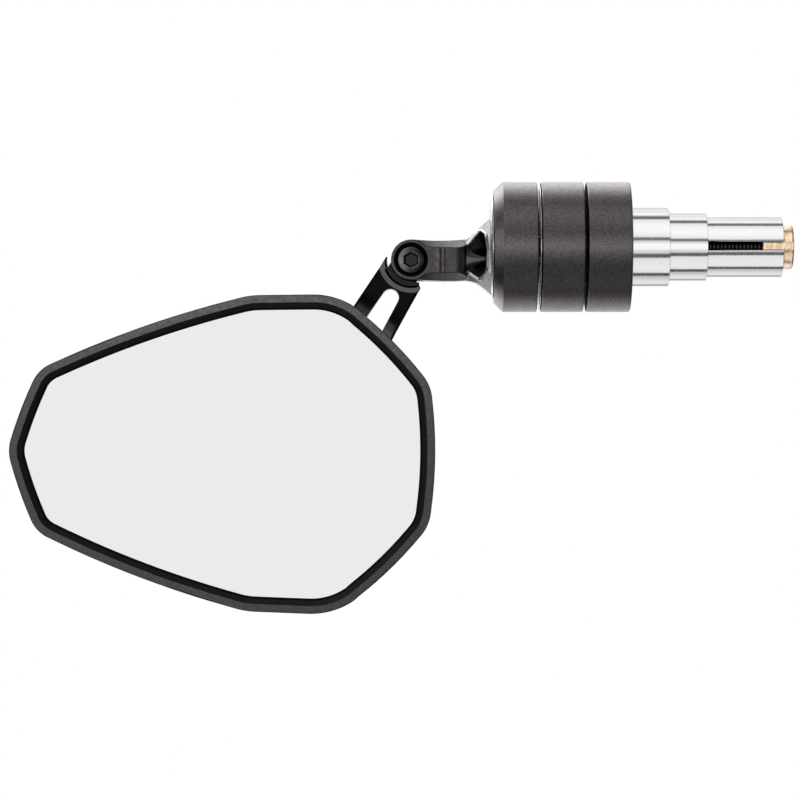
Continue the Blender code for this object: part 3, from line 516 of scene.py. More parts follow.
def build_sleeve():
    large, medium, small = STEP_RADII
    large_end, medium_end, small_end = STEP_ENDS
    profile = fillet([
        (small_end, 6.1),
        (small_end, small, STEP_ROUND),
        (medium_end, small),
        (medium_end, medium, STEP_ROUND),
        (large_end, medium),
        (large_end, large, STEP_ROUND),
        (-0.9, large),
        (-0.9, 3.2),
        (19.4, 3.2),
        (20.35, 5.0),
        (35.0, 5.0),
        (small_end, 6.1),
    ], 4)[:-1]
    sleeve = turned("sleeve_skin", profile, 128, axis_x())
    for number in range(SLOT_COUNT):
        outline = [(20.4, 0), (42, 0), (42, -9), (20.4, -9)]
        cut(sleeve, slab("slot", outline, -SLOT_HALF, SLOT_HALF, third_turn(number)))
    soften(sleeve, 0.06, 1, 40)
    return show(sleeve, "bar_end", ["expansion_sleeve"], ALUMINIUM)


def thread_profile(start, end, radius, pitch, depth):
    """Ridges of a thread, as rings: (height, radius) points from the end back to the start."""
    points = []
    turns = int((end - start) / pitch)
    for k in range(turns):
        crest = end - k * pitch
        points += [(crest, radius - 0.05), (crest - 0.1, radius), (crest - 0.24, radius)]
        points += [(crest - 0.34, radius - 0.05), (crest - 0.67, radius - depth)]
    return points


def build_bolt():
    head = box_mm("clamp_bolt")[0].x
    end = box_mm("clamp_bolt")[1].x
    shank, head_radius, head_end = BOLT_RADIUS - 0.05, 5.0, head + 5.6
    chain = [(end, 0), (end, 2.4)]
    chain += thread_profile(THREAD_START, end - 0.6, BOLT_RADIUS, THREAD_PITCH, THREAD_DEPTH)
    chain += [(THREAD_START - 1, shank), (head_end, shank), (head_end, head_radius)]
    chain += [(head, head_radius), (head, 0)]
    bolt = turned("clamp_bolt_skin", chain, FINE, axis_x())
    cut(bolt, bar("socket", hexagon_radius(5.0), head - 2, head + 2.8, 6, axis_x()))
    show(bolt, "clamp", ["clamp_bolt"], STEEL)


def build_cone():
    start, end = box_mm("expander_cone")[0].x, box_mm("expander_cone")[1].x
    chain = [(end, 3.15), (end, 5.95, 0.7), (start, 4.6, 0.15), (start, 3.15)]
    cone = turned("cone_skin", fillet(chain, 6), 96, axis_x())
    outline = [(start + 0.2, -4.2), (end - 0.25, -4.2), (end - 0.25, -6.2), (start + 0.2, -6.2)]
    for number in range(SLOT_COUNT):
        join(cone, slab("key", outline, -1.0, 1.0, third_turn(number)))
    soften(cone, 0.12, 2, 35)
    return show(cone, "expander", ["expander_cone"], BRASS)


# ---------------------------------------------------------------- link arm

EYE = 5.35  # radius of the round end
ARM_FRONT = 6.6  # half the arm's thickness
BROKEN_EDGE = 2.1  # height of the slope along each long edge
FACE_END = (11.6, 3.6, 80)  # where the face curves away, the radius, and the angle that it turns
SCOOP_START = 14.75  # from the pivot
SCOOP_LENGTH = 5.65
# The scoop's outline from the pivot: x, z and corner radius
SCOOP = (
    (SCOOP_START, -3.1, 0.6),
    (18.5, -5.35, 0.5),
    (20.2, -2.4, 1.2),
    (20.4, 2.2, 3.0),
    (19.9, 6.6, 0.8),
    (18.4, 8.0, 0.6),
    (SCOOP_START, 3.7, 0.6),
)
# The slope along an edge: distance from the pivot, its share of the full height, and its depth
EDGE_PLACES = (
    (1.2, 0.02, 2.8),
    (2.4, 0.4, 2.8),
    (3.6, 0.76, 2.8),
    (4.8, 0.94, 2.8),
    (6.2, 1.0, 2.9),
    (9.5, 1.02, 3.2),
    (12.5, 1.04, 3.8),
    (15.6, 1.05, 4.3),
)


def arm_outline():
    angles = [math.radians(90 + 180 * k / 48) for k in range(49)]
    eye = [(EYE * math.cos(a), EYE * math.sin(a)) for a in angles]
    below = [(9.0, -5.6), (12.5, -5.55), (14.2, -5.45), (15.5, -5.1)]
    above = [(15.5, 5.3), (14.3, 5.55), (13.3, 5.47), (12.0, 5.33), (10.0, 5.2), (6.5, 5.14), (3.0, 5.25)]
    return eye + below + above


def octagon(x, bottom, top, depth, corner):
    """A section of the flare; its corner is cut off by a share of its height and width."""
    height, width = corner * (top - bottom), corner * depth * 2
    return [
        (x, -depth + width, bottom),
        (x, depth - width, bottom),
        (x, depth, bottom + height),
        (x, depth, top - height),
        (x, depth - width, top),
        (x, -depth + width, top),
        (x, -depth, top - height),
        (x, -depth, bottom + height),
    ]


def edge_wedge(side, level):
    """Breaks one long edge of the arm, and runs out to nothing at the eye."""
    edge = 5.4 if level > 0 else 5.6
    sections = []
    for x, size, depth in EDGE_PLACES:
        low, near = edge - BROKEN_EDGE * size, ARM_FRONT - depth * size
        slope = BROKEN_EDGE / depth
        sections.append([
            (x, side * (ARM_FRONT + 1), level * (low - slope)),
            (x, side * (near - 1 / slope), level * (edge + 1)),
            (x, side * (ARM_FRONT + 1), level * (edge + 1)),
        ])
    return loft("edge", sections, AT_PIVOT)


def scoop_outline():
    return fillet([*SCOOP, *SCOOP[:2]], 6)[1:-1]


def scoop_floor(x, z):
    """Depth of the scoop's floor: a ridge that narrows and sinks towards the flange."""
    along = (x - SCOOP_START) / SCOOP_LENGTH
    ridge = 4.66 - 0.3 * along
    beside = 4.0 - 3.0 * along
    width = 2.6 - 1.3 * along
    share = 1 / (1 + abs((z - 0.3 * along) / width) ** 3.5)
    return beside + (ridge - beside) * share


def pocket(side):
    """The cutter for the scoop between arm and flange: straight walls down to a curved floor."""
    steps, outside = 44, 14.0
    outline = scoop_outline()
    low = min(z for _, z in outline) - 0.5
    high = max(z for _, z in outline) + 0.5
    heights = [low + (high - low) * k / steps for k in range(steps + 1)]
    loops = []
    for i in range(steps + 1):
        x = 14.2 + 6.8 * i / steps
        floor = [(x, side * scoop_floor(x, z), z) for z in heights]
        loops.append([(x, side * outside, low), *floor, (x, side * outside, high)])
    hollow = loft("pocket", loops, AT_PIVOT)
    triangulate(hollow)
    combine(hollow, prism("walls", outline, min(0, side * 20), max(0, side * 20), AT_PIVOT), "INTERSECT")
    return hollow


def face_relief(side):
    """Two low ridges across the arm's face, with a groove between them."""
    chain = [(6.3, -0.03), (6.6, 0.02), (7.4, 0.2), (7.6, 0.21), (7.95, 0.03), (8.3, 0.03)]
    chain += [(8.7, 0.11), (8.9, 0.11), (9.2, -0.03)]
    front = [(x, side * (ARM_FRONT + rise)) for x, rise in chain]
    inside = [(9.2, side * (ARM_FRONT - 0.5)), (6.3, side * (ARM_FRONT - 0.5))]
    return slab("relief", front + inside, -3.35, 3.1, AT_PIVOT)


def face_end(side):
    """Rounds the arm's face away before the scoop."""
    start, radius, turn = FACE_END
    arc = []
    for k in range(11):
        a = math.radians(turn * k / 10)
        arc.append((start + radius * math.sin(a), side * (ARM_FRONT - radius * (1 - math.cos(a)))))
    outline = arc + [(17, arc[-1][1]), (17, side * 9), (start, side * 9)]
    return slab("face_end", outline, -7, 7, AT_PIVOT)


def highlight_bead(side, surface, radius=0.4):
    """A round bead along the scoop's outline, on the flare's surface, open where the arm's face joins; it
    carries the painted highlight of the rim.
    """
    route = []
    corners = scoop_outline()
    for near, far in zip(corners, corners[1:] + corners[:1]):
        pieces = math.ceil(math.dist(near, far) / 0.4)
        for k in range(pieces):
            x, z = (a + (b - a) * k / pieces for a, b in zip(near, far))
            if x > SCOOP_START + 0.25:
                start = AT_PIVOT @ Vector((x, side * 30, z)) * MM
                route.append(surface.ray_cast(start, Vector((0, -side, 0)))[0])
    first = max(range(len(route)), key=lambda k: (route[k] - route[k - 1]).length)
    route = route[first:] + route[:first]
    curve = bpy.data.curves.new("rim", "CURVE")
    curve.dimensions = "3D"
    curve.bevel_depth = radius * MM
    curve.bevel_resolution = 3
    curve.use_fill_caps = True
    spline = curve.splines.new("POLY")
    spline.points.add(len(route) - 1)
    for point, place in zip(spline.points, route):
        point.co = (*place, 1)
    line = add_object("rim_line", curve)
    graph = bpy.context.evaluated_depsgraph_get()
    mesh = bpy.data.meshes.new_from_object(line.evaluated_get(graph))
    bpy.data.objects.remove(line)
    return add_object("flare_highlight_rim_front" if side < 0 else "flare_highlight_rim_rear", mesh)


def build_link():
    arm = prism("link_arm_skin", arm_outline(), -ARM_FRONT, ARM_FRONT, AT_PIVOT)
    for side in (-1, 1):
        cut(arm, edge_wedge(side, -1), edge_wedge(side, 1), face_end(side))
        show(face_relief(side), "link", [], ANODISED_ARM)
    cut(
        arm,
        bar("slot", 6.3, -2.6, 2.6, FINE, PIVOT_TURNED),
        bar("hole", 2.15, -9, 9, FINE, PIVOT_TURNED),
        bar("counterbore", 4.5, -9, -3.6, FINE, PIVOT_TURNED),
        bar("nut_pocket", hexagon_radius(7.3), 3.5, 9, 6, PIVOT_TURNED),
    )
    soften(arm, 0.16, 3, 24)
    flare = [
        octagon(11.5, -3.6, 3.4, 3.0, 0.2),
        octagon(14.4, -5.35, 5.5, 4.4, 0.16),
        octagon(15.6, -5.6, 6.0, 5.4, 0.18),
        octagon(17.3, -6.1, 7.6, 6.6, 0.21),
        octagon(19.2, -7.4, 9.5, 8.0, 0.25),
        octagon(21.5, -9.4, 11.5, 9.8, 0.27),
    ]
    join(arm, loft("flare", flare, AT_PIVOT))
    uncut = surface_of(arm)
    scoops = []
    for side in (-1, 1):
        scoop = pocket(side)
        scoops.append(surface_of(scoop))
        cut(arm, scoop)
        # A bead of painted highlight along each scoop's rim
        show(highlight_bead(side, uncut), "link", [], PAINTED_HIGHLIGHT)
    show(arm, "link", ["link_arm"], ANODISED_ARM, 18)

    def in_bore(centre, normal):
        return from_pivot(centre) < 4.52 and -6.4 < centre.y < -3.5

    def on_flare(centre, normal):
        return centre.x - PIVOT.x > SCOOP_START - 0.05

    def in_scoop(centre, normal):
        return min(scoop.find_nearest(centre * MM)[3] for scoop in scoops) < 2e-6

    # Painted shade on the counterbore's wall and floor
    second_material(arm, SHADOW, in_bore)
    # Painted reflection: the flare's faces take the lighter copy of the arm's anodising
    second_material(arm, ANODISED_FLARE_PAINTED_REFLECTION, on_flare)
    second_material(arm, GLOSS, in_scoop)
    return arm


def build_flange():
    """The dished disc between the link's flare and the weight."""
    face = box_mm("ring_outer")[0].x - 0.15
    rim = box_mm("link_arm")[1].z
    chain = [
        (face + 1.0, 0),
        (face + 1.0, 8.2),
        (face, 8.2),
        (face, rim, 0.12),
        (face - 0.3, rim - 0.05, 0.1),
        (face - 0.55, rim - 0.5, 0.12),
        (face - 0.95, 9.5),
        (face - 0.95, 0),
    ]
    flange = turned("link_flange_skin", fillet(chain, 4), SMOOTH, axis_x())
    # The flange's edge in painted highlight, for the highlight round the glossy black disc
    show(flange, "link", [], PAINTED_HIGHLIGHT)

    def inside_rim(centre, normal):
        return math.hypot(centre.y, centre.z) < rim - 0.9

    # Painted reflection: inside its rim the flange takes the flare's lighter anodising
    second_material(flange, ANODISED_FLARE_PAINTED_REFLECTION, inside_rim)


def build_pivot_hardware():
    head_back, head_front = -3.75, -6.15
    chain = [
        (6.1, 0),
        (6.1, 2.0, 0.2),
        (head_back, 2.0),
        (head_back, 3.8),
        (head_front + 0.95, 3.8, 0.1),
        (head_front + 0.53, 3.45),
        (head_front + 0.33, 2.7),
        (head_front + 0.15, 1.85),
        (head_front + 0.045, 1.0),
        (head_front, 0),
    ]
    screw = turned("pivot_screw_skin", fillet(chain), FINE, PIVOT_TURNED)
    corners = [math.radians(30 + 60 * k) for k in range(6)]
    tapered = []
    for depth, flats in ((-0.3, 4.1), (1.5, 2.9)):
        radius = hexagon_radius(flats)
        tapered.append([(radius * math.cos(a), head_front + depth, radius * math.sin(a)) for a in corners])
    cut(screw, loft("socket", tapered, AT_PIVOT))
    soften(screw, 0.07, 2, 35)
    show(screw, "link", ["pivot_screw"], STEEL)

    def in_socket(centre, normal):
        return head_front + 0.6 < centre.y < head_front + 2

    # Painted shade inside the hex socket
    second_material(screw, SOCKET, in_socket)
    nut = bar("pivot_nut_skin", hexagon_radius(7.0), 3.65, 6.5, 6, PIVOT_TURNED)
    cut(nut, bar("bore", 2.1, 0, 9, FINE, PIVOT_TURNED))
    soften(nut, 0.2, 3, 35)
    show(nut, "link", ["pivot_nut"], STEEL)
    for name, middle in (("front", -2.25), ("rear", 2.25)):
        washer = turned(
            f"pivot_washer_{name}_skin",
            [(middle + 0.2, 5.0), (middle - 0.2, 5.0), (middle - 0.2, 2.3), (middle + 0.2, 2.3)],
            FINE,
            PIVOT_TURNED,
        )
        show(washer, "link", [f"pivot_washer_{name}"], NYLON)
    return screw


# ---------------------------------------------------------------- neck

HORN_STEP = -2.4  # height from the pivot above which only the cradle's deep layer goes on
# The cradle's steps round the eye: depth from the middle, and radius
CRADLE_STEPS = ((6.1, 10.0), (5.0, 8.85), (4.8, 8.75), (4.76, 7.5), (2.4, 6.85), (2.4, 6.35))
# Distance from the pivot, front face, back face, half width
NECK_SECTIONS = (
    (2.55, -5.0, 5.0, 6.12),
    (6.0, -5.0, 5.0, 6.12),
    (13.0, -4.85, 5.05, 6.4),
    (16.0, -4.2, 5.2, 6.55),
    (19.0, -2.6, 5.65, 6.7),
    (22.0, -0.65, 6.1, 6.9),
    (27.0, 1.2, 6.9, 7.35),
    (35.0, 3.2, 7.7, 8.2),
    (42.0, 3.7, 8.0, 8.7),
    (60.0, 3.7, 8.0, 9.9),
)


def smooth_sections(sections, steps=6):
    """More sections between the given ones, along a smooth curve through them."""
    made = []
    for k in range(len(sections) - 1):
        before = sections[max(k - 1, 0)]
        here, after = sections[k], sections[k + 1]
        beyond = sections[min(k + 2, len(sections) - 1)]
        span = after[0] - here[0]
        for step in range(steps):
            t = step / steps
            row = [here[0] + span * t]
            for value in range(1, 4):
                slope_a = (after[value] - before[value]) / (after[0] - before[0])
                slope_b = (beyond[value] - here[value]) / (beyond[0] - here[0])
                row.append(
                    (2 * t**3 - 3 * t**2 + 1) * here[value]
                    + (t**3 - 2 * t**2 + t) * span * slope_a
                    + (3 * t**2 - 2 * t**3) * after[value]
                    + (t**3 - t**2) * span * slope_b
                )
            made.append(row)
    return made + [sections[-1]]


def neck_section(s, front, back, half, edge=0.5):
    return [
        (s, front, -half + edge),
        (s, front, half - edge),
        (s, front + edge, half),
        (s, back - edge, half),
        (s, back, half - edge),
        (s, back, -half + edge),
        (s, back - edge, -half),
        (s, front + edge, -half),
    ]


def slot_outline():
    centre, points = 0.55, []
    for middle, radius, start in ((11.4, 2.25, 90), (44.0, 4.1, -90)):
        for k in range(25):
            a = math.radians(start + 7.5 * k)
            points.append((middle + radius * math.cos(a), centre + radius * math.sin(a)))
    return points


def build_neck():
    sections = [neck_section(*row) for row in smooth_sections(NECK_SECTIONS)]
    neck = loft("neck_fork_skin", sections, NECK_FRAME)
    mirrored = [(-depth, radius) for depth, radius in reversed(CRADLE_STEPS)]
    deepest = CRADLE_STEPS[0][0]
    chain = [(deepest, 0), *CRADLE_STEPS, *mirrored, (-deepest, 0)]
    cradle = turned("cradle", chain, SMOOTH, PIVOT_TURNED)
    slot = prism("slot", slot_outline(), -9, 12, NECK_FRAME)
    under_arm = slab("under_arm", [(0.5, -9), (14, -9), (14, 9), (0.5, 9)], -6.15, 9, AT_PIVOT)
    cradle_end = slab("cradle_end", [(2.5, -9), (14, -9), (14, 9), (2.5, 9)], -7.9, 9, AT_PIVOT)
    cut(neck, slot)
    soften(neck, 0.22, 3, 26)
    cut(neck, cradle, under_arm, cradle_end)
    for low, high in ((-9, -3.2), (3.2, 9)):
        outline = [(-14, low), (-3, low), (-3, high), (-14, high)]
        cut(neck, slab("horn_step", outline, HORN_STEP, 9, AT_PIVOT))
    shelf = turned("shelf", [(3.2, 6.9), (-3.2, 6.9), (-3.2, 5.6), (3.2, 5.6)], SMOOTH, PIVOT_TURNED)
    right = [(0.5, 9), (0.5, -5.9), (2.2, -5.9), (2.2, -9), (9, -9), (9, 9)]
    cut(
        shelf,
        prism("above", [(0, 0), (-9, -2.6), (-9, 9), (9, 9), (9, 0)], -9, 9, AT_PIVOT),
        prism("right", right, -9, 9, AT_PIVOT),
    )
    tongue = bar("tongue", 5.2, -1.9, 1.9, FINE, PIVOT_TURNED)
    web = prism("web", [(0.3, -4.3), (8.6, -4.3), (8.6, 4.3), (0.3, 4.3)], -1.88, 1.88, NECK_FRAME)
    pad = bar("pad", 10.2, 3.5, 8.2, SMOOTH, BALL_AXIS)
    soften(pad, 0.22, 3, 35)
    join(neck, shelf, tongue, web, pad)
    cut(
        neck,
        prism("band_end", [(2.2, -5.0), (3.8, -5.0), (3.8, -8.8), (2.2, -6.9)], -9, 9, AT_PIVOT),
        bar("bush_hole", 2.85, -9, 9, FINE, PIVOT_TURNED),
        bar("stud_hole", 2.55, -9, 12, FINE, BALL_AXIS),
    )
    show(neck, "neck", ["neck_fork"], POLISHED)

    def on_band(centre, normal):
        depth, reach = abs(centre.y), from_pivot(centre)
        on_ring = 7.4 < reach < 8.9 and 4.6 < depth < 4.85
        beside = reach > 7.0 and centre.x < PIVOT.x - 3 and centre.z > PIVOT.z + HORN_STEP
        on_horn = beside and 2.2 < depth < 3.3
        return abs(normal.y) > 0.8 and (on_ring or on_horn)

    def on_deep_layer(centre, normal):
        return 2.2 < abs(centre.y) < 3.3 and from_pivot(centre) < 6.95

    second_material(neck, BAND, on_band)
    second_material(neck, DEEP_LAYER, on_deep_layer)
    tube = [(1.9, 2.7), (-1.9, 2.7), (-1.9, 2.15), (1.9, 2.15)]
    bush = turned("pivot_bush_skin", tube, FINE, PIVOT_TURNED)
    show(bush, "neck", ["pivot_bush"], BRASS)
    return neck


# ---------------------------------------------------------------- ball joint


def sphere_arc(radius, start, end, steps):
    angles = [math.radians(start + (end - start) * k / steps) for k in range(steps + 1)]
    return [(radius * math.cos(a), radius * math.sin(a)) for a in angles]


BALL_RADIUS = 5.0
SOCKET_RADIUS = 6.35


def build_ball_stud():
    to_rear = -BALL.y
    chain = [
        (13.2 + to_rear, 0),
        (13.2 + to_rear, 2.4, 0.3),
        (3.35 + to_rear, 2.4),
        (3.35 + to_rear, 3.0, 0.1),
        (2.95 + to_rear, 3.0, 0.1),
        (2.95 + to_rear, 2.2),
        (4.5, 2.2),
    ]
    profile = fillet(chain)[:-1] + sphere_arc(BALL_RADIUS, 26.1, 180, 24)
    profile[-1] = (-BALL_RADIUS, 0)
    stud = turned("ball_stud_skin", profile, FINE, BALL_TURNED)
    show(stud, "neck", ["ball_stud"], STEEL)
    chain = [(8.75, 2.6), (9.15, 2.6), (9.15, 4.8, 0.15), (8.35, 4.8, 0.15), (8.35, 2.6), (8.75, 2.6)]
    washer = turned("stud_washer_skin", fillet(chain)[:-1], FINE, BALL_AXIS)
    show(washer, "neck", ["stud_washer"], STEEL)
    nut = bar("stud_nut_skin", hexagon_radius(8.0), 9.3, 12.8, 6, BALL_AXIS)
    cut(nut, bar("bore", 2.5, 8, 14, FINE, BALL_AXIS))
    soften(nut, 0.3, 3, 35)
    show(nut, "neck", ["stud_nut"], STEEL)


# ---------------------------------------------------------------- mirror head

BALL_IN_HEAD = (17.8, -0.5)  # the ball's x and z from the middle of the glass
GLASS_EDGE = 0.95  # how far the glass reaches past its visible outline, under the bezel
GLASS_DOME = 0.55
# Each corner of the glass: x, z, corner radius, and the turn in degrees of the bowed edge that follows it
GLASS_CORNERS = (
    (51.0, 16.6, 7.8, 17.1),
    (29.1, 38.1, 16.0, 0.8),
    (7.9, 37.9, 19.5, 11.8),
    (-45.4, 19.3, 5.5, 10.5),
    (-52.4, 1.0, 7.3, 10.7),
    (-45.9, -17.5, 5.4, 11.7),
    (6.8, -37.4, 19.2, 0.7),
    (28.1, -38.2, 16.0, 17.3),
    (50.6, -17.2, 7.8, 17.1),
)
HEAD_AT = Matrix.Translation((BALL.x - BALL_IN_HEAD[0], 0, BALL.z - BALL_IN_HEAD[1]))


def glass_outline(corner_steps=12, edge_steps=14):
    """Points and outward normals round the glass: bowed edges joined by round corners."""
    count = len(GLASS_CORNERS)
    edges = []
    for k in range(count):
        x, z, _, turn = GLASS_CORNERS[k]
        next_x, next_z = GLASS_CORNERS[(k + 1) % count][:2]
        heading = math.atan2(next_z - z, next_x - x)
        half_turn = math.radians(turn) / 2
        length = math.hypot(next_x - x, next_z - z)
        edges.append((heading - half_turn, heading + half_turn, length / 2 / math.sin(half_turn)))
    found = []
    for k in range(count):
        x, z, radius, _ = GLASS_CORNERS[k]
        arriving, leaving = edges[k - 1][1], edges[k][0]
        turn = (leaving - arriving + math.pi) % (2 * math.pi) - math.pi
        reach = radius * math.tan(turn / 2)
        cx = x - reach * math.cos(arriving) - radius * math.sin(arriving)
        cz = z - reach * math.sin(arriving) + radius * math.cos(arriving)
        for step in range(corner_steps + 1):
            a = arriving + turn * step / corner_steps
            found.append((cx + radius * math.sin(a), cz - radius * math.cos(a), a))
        bow = edges[k][2]
        next_radius = GLASS_CORNERS[(k + 1) % count][2]
        next_turn = (edges[(k + 1) % count][0] - edges[k][1] + math.pi) % (2 * math.pi) - math.pi
        first = leaving + reach / bow
        last = edges[k][1] - next_radius * math.tan(next_turn / 2) / bow
        bx, bz = x - bow * math.sin(leaving), z + bow * math.cos(leaving)
        for step in range(1, edge_steps):
            a = first + (last - first) * step / edge_steps
            found.append((bx + bow * math.sin(a), bz - bow * math.cos(a), a))
    return [((x, z), (math.sin(a), -math.cos(a))) for x, z, a in found]


OUTLINE = glass_outline()


def grown(distance, y):
    return [(x + nx * distance, y, z + nz * distance) for (x, z), (nx, nz) in OUTLINE]


def scaled(scale, y, about=BALL_IN_HEAD, distance=4.0):
    return [
        (about[0] + (x - about[0]) * scale, y, about[1] + (z - about[1]) * scale)
        for x, _, z in grown(distance, y)
    ]


def ring_piece(name, section, steps=5):
    """A ring that follows the outline, from a closed section of (distance outwards, depth, radius) points."""
    rounded = fillet(section + section[:1], steps)[:-1]
    return loft(name, [grown(distance, y) for distance, y in rounded], HEAD_AT, capped=False)


def build_head():
    front = box_mm("head_shell")[0].y
    shell_chain = fillet([
        (1.9, front + 4.4),
        (1.9, front, 0.02),
        (3.96, front, 0.22),
        (3.96, front + 3.8, 0.9),
        (2.2, front + 5.1, 1.2),
        (-2.0, front + 6.3),
    ], 6)
    inside = [(0.3, -6.2), (0.62, -7.0)]
    back = [(0.80, -6.55), (0.7, -5.85), (0.6, -5.3), (0.48, -4.85), (0.3, -4.72)]
    loops = [scaled(scale, y) for scale, y in inside]
    loops.append(grown(-5.0, -9.95))
    loops += [grown(distance, y) for distance, y in shell_chain]
    loops += [scaled(scale, y) for scale, y in back]
    shell = loft("head_shell_skin", loops, HEAD_AT)
    housing = bar("housing", 8.8, -9.85, -5.5, SMOOTH, BALL_AXIS)
    boss = bar("boss", 11.5, -6.2, -2.0, SMOOTH, BALL_AXIS)
    join(shell, housing, boss)
    bore = [(1.5, 0), (1.5, SOCKET_RADIUS)]
    bore += sphere_arc(SOCKET_RADIUS, 90, 180, 16)[:-1] + [(-SOCKET_RADIUS, 0)]
    cut(shell, turned("bore", bore, FINE, BALL_TURNED))
    soften(shell, 0.07, 2, 40)
    show(shell, "head", ["head_shell"], ANODISED_HEAD)
    return shell


def build_glass():
    """The domed glass, its seal and its bezel."""
    front = box_mm("head_shell")[0].y
    loops = []
    for scale in (0.03, 0.2, 0.4, 0.6, 0.8, 1.0):
        loops.append(scaled(scale, -13.0 - GLASS_DOME * (1 - scale * scale), (0, 0), GLASS_EDGE))
    glass = loft("glass_skin", loops + [grown(GLASS_EDGE, -12.0)], HEAD_AT)
    show(glass, "head", ["mirror_glass"], MIRROR)
    seal = ring_piece("glass_seal_skin", [(0.0, -13.12), (0.0, -13.5, 0.15), (0.95, -13.5), (0.95, -13.12)])
    show(seal, "head", ["glass_seal"], RUBBER)
    bezel = ring_piece(
        "glass_bezel_skin",
        [
            (0.52, -13.56),
            (0.52, -13.72, 0.08),
            (1.7, front + 0.06, 0.1),
            (1.88, front + 0.02, 0.02),
            (1.88, -10.1),
            (1.4, -10.1),
            (1.4, -13.56),
        ],
    )
    show(bezel, "head", ["glass_bezel"], PLASTIC)


SCREW_CIRCLE = 9.0


def screw_places():
    for number in range(3):
        angle = math.radians(90 + 120 * number)
        yield number, BALL.x + SCREW_CIRCLE * math.cos(angle), BALL.z + SCREW_CIRCLE * math.sin(angle)


def build_socket_cap():
    to_rear = -BALL.y
    chain = [
        (2.0 + to_rear, 4.6),
        (2.0 + to_rear, 5.4, 0.3),
        (-0.3 + to_rear, 11.1, 0.4),
        (-0.7 + to_rear, 11.5, 0.2),
        (-1.85 + to_rear, 11.5),
        (-1.85 + to_rear, 6.3),
    ]
    inside = sphere_arc(SOCKET_RADIUS, 83.2, 46.5, 10)
    cap = turned("socket_cap_skin", fillet(chain)[:-1] + inside, SMOOTH, BALL_TURNED)
    for number, x, z in screw_places():
        at = axis_y((x, 0, z))
        cut(cap, bar("bore", 1.3, -3, 3, FINE, at), bar("seat", 2.2, -1.0, 3, FINE, at))
        chain = [(0.1, 0), (0.1, 2.0, 0.35), (-0.85, 2.0), (-0.85, 1.1), (-6.0, 1.1), (-6.0, 0)]
        screw = turned(f"socket_screw_{number + 1}_skin", fillet(chain), FINE, at)
        cut(screw, bar("drive", hexagon_radius(1.5), -0.6, 1, 6, at))
        show(screw, "head", [f"socket_screw_{number + 1}"], STEEL)
    soften(cap, 0.1, 2, 40)
    show(cap, "head", ["socket_cap"], ANODISED_HEAD)


def dress_kept_nodes():
    """CAD nodes that keep their own mesh."""
    dress("ball_cup_rear", NYLON)
    dress("ball_cup_front", NYLON)
    dress("glass_pad", RUBBER, 30)
    dress("glass_carrier", PLASTIC, 30)
    dress("bolt_washer", STEEL, 30)
    dress("link_grub_screw_upper", STEEL, 30)
    dress("link_grub_screw_lower", STEEL, 30)


# ---------------------------------------------------------------- studio

# Brightness of the surroundings by angle in degrees round the X axis: 0 is towards the camera, 90 is overhead
STUDIO = (
    (-180, 1.4),
    (-150, 1.2),
    (-135, 1.15),
    (-115, 0.75),
    (-104, 0.3),
    (-95, 0.12),
    (-75, 0.25),
    (-60, 0.25),
    (-42, 0.15),
    (-13, 0.28),
    (-8, 1.04),
    (8, 1.04),
    (12, 0.3),
    (26, 0.25),
    (36, 0.45),
    (50, 0.65),
    (68, 0.6),
    (78, 0.3),
    (92, 0.28),
    (100, 0.5),
    (108, 1.1),
    (120, 2.1),
    (135, 2.6),
    (150, 2.0),
    (165, 1.4),
    (180, 1.4),
)

# The same by how far to the right the direction points, from -1 to 1
STUDIO_SIDES = (
    (-1.0, 1.1),
    (-0.97, 1.0),
    (-0.93, 0.11),
    (-0.75, 0.14),
    (-0.6, 1.0),
    (-0.45, 1.8),
    (-0.32, 1.3),
    (-0.24, 1.0),
    (0.1, 1.0),
    (0.2, 0.75),
    (0.45, 0.2),
    (0.7, 0.2),
    (1.0, 0.9),
)


def add_curve(world, source, low, high, points):
    """Maps a value through a chain of straight pieces given as (value, result) points."""
    nodes, links = world.node_tree.nodes, world.node_tree.links
    share = nodes.new("ShaderNodeMapRange")
    share.inputs["From Min"].default_value = low
    share.inputs["From Max"].default_value = high
    links.new(source, share.inputs["Value"])
    curve = nodes.new("ShaderNodeFloatCurve")
    links.new(share.outputs["Result"], curve.inputs["Value"])
    most = max(result for _, result in points)
    places = [((value - low) / (high - low), result / most) for value, result in points]
    chain = curve.mapping.curves[0].points
    chain[0].location, chain[1].location = places[0], places[-1]
    for place in places[1:-1]:
        chain.new(*place)
    for point in chain:
        point.handle_type = "VECTOR"
    curve.mapping.update()
    return add_math(world, "MULTIPLY", curve.outputs["Value"], most)


def add_math(world, operation, *values):
    """One step of arithmetic on values that are numbers or other nodes' outputs."""
    step = world.node_tree.nodes.new("ShaderNodeMath")
    step.operation = operation
    for socket, value in zip(step.inputs, values):
        if isinstance(value, (int, float)):
            socket.default_value = value
        else:
            world.node_tree.links.new(value, socket)
    return step.outputs[0]


def build_world():
    """Bands of soft light all round. Looked at directly, the surroundings are plain white."""
    world = bpy.data.worlds.new("studio")
    bpy.context.scene.world = world
    world.use_nodes = True
    nodes, links = world.node_tree.nodes, world.node_tree.links
    place = nodes.new("ShaderNodeTexCoord")
    split = nodes.new("ShaderNodeSeparateXYZ")
    links.new(place.outputs["Generated"], split.inputs[0])
    towards_rider = add_math(world, "MULTIPLY", split.outputs["Y"], -1)
    angle = add_math(world, "ARCTAN2", split.outputs["Z"], towards_rider)
    degrees = add_math(world, "DEGREES", angle)
    by_angle = add_curve(world, degrees, -180, 180, STUDIO)
    by_side = add_curve(world, split.outputs["X"], -1, 1, STUDIO_SIDES)
    strength = add_math(world, "MULTIPLY", by_angle, by_side)
    seen = nodes.new("ShaderNodeLightPath")
    pick = nodes.new("ShaderNodeMix")
    links.new(seen.outputs["Is Camera Ray"], pick.inputs["Factor"])
    links.new(strength, pick.inputs["A"])
    pick.inputs["B"].default_value = 1.0
    links.new(pick.outputs["Result"], nodes["Background"].inputs["Strength"])
    nodes["Background"].inputs["Color"].default_value = (1, 1, 1, 1)


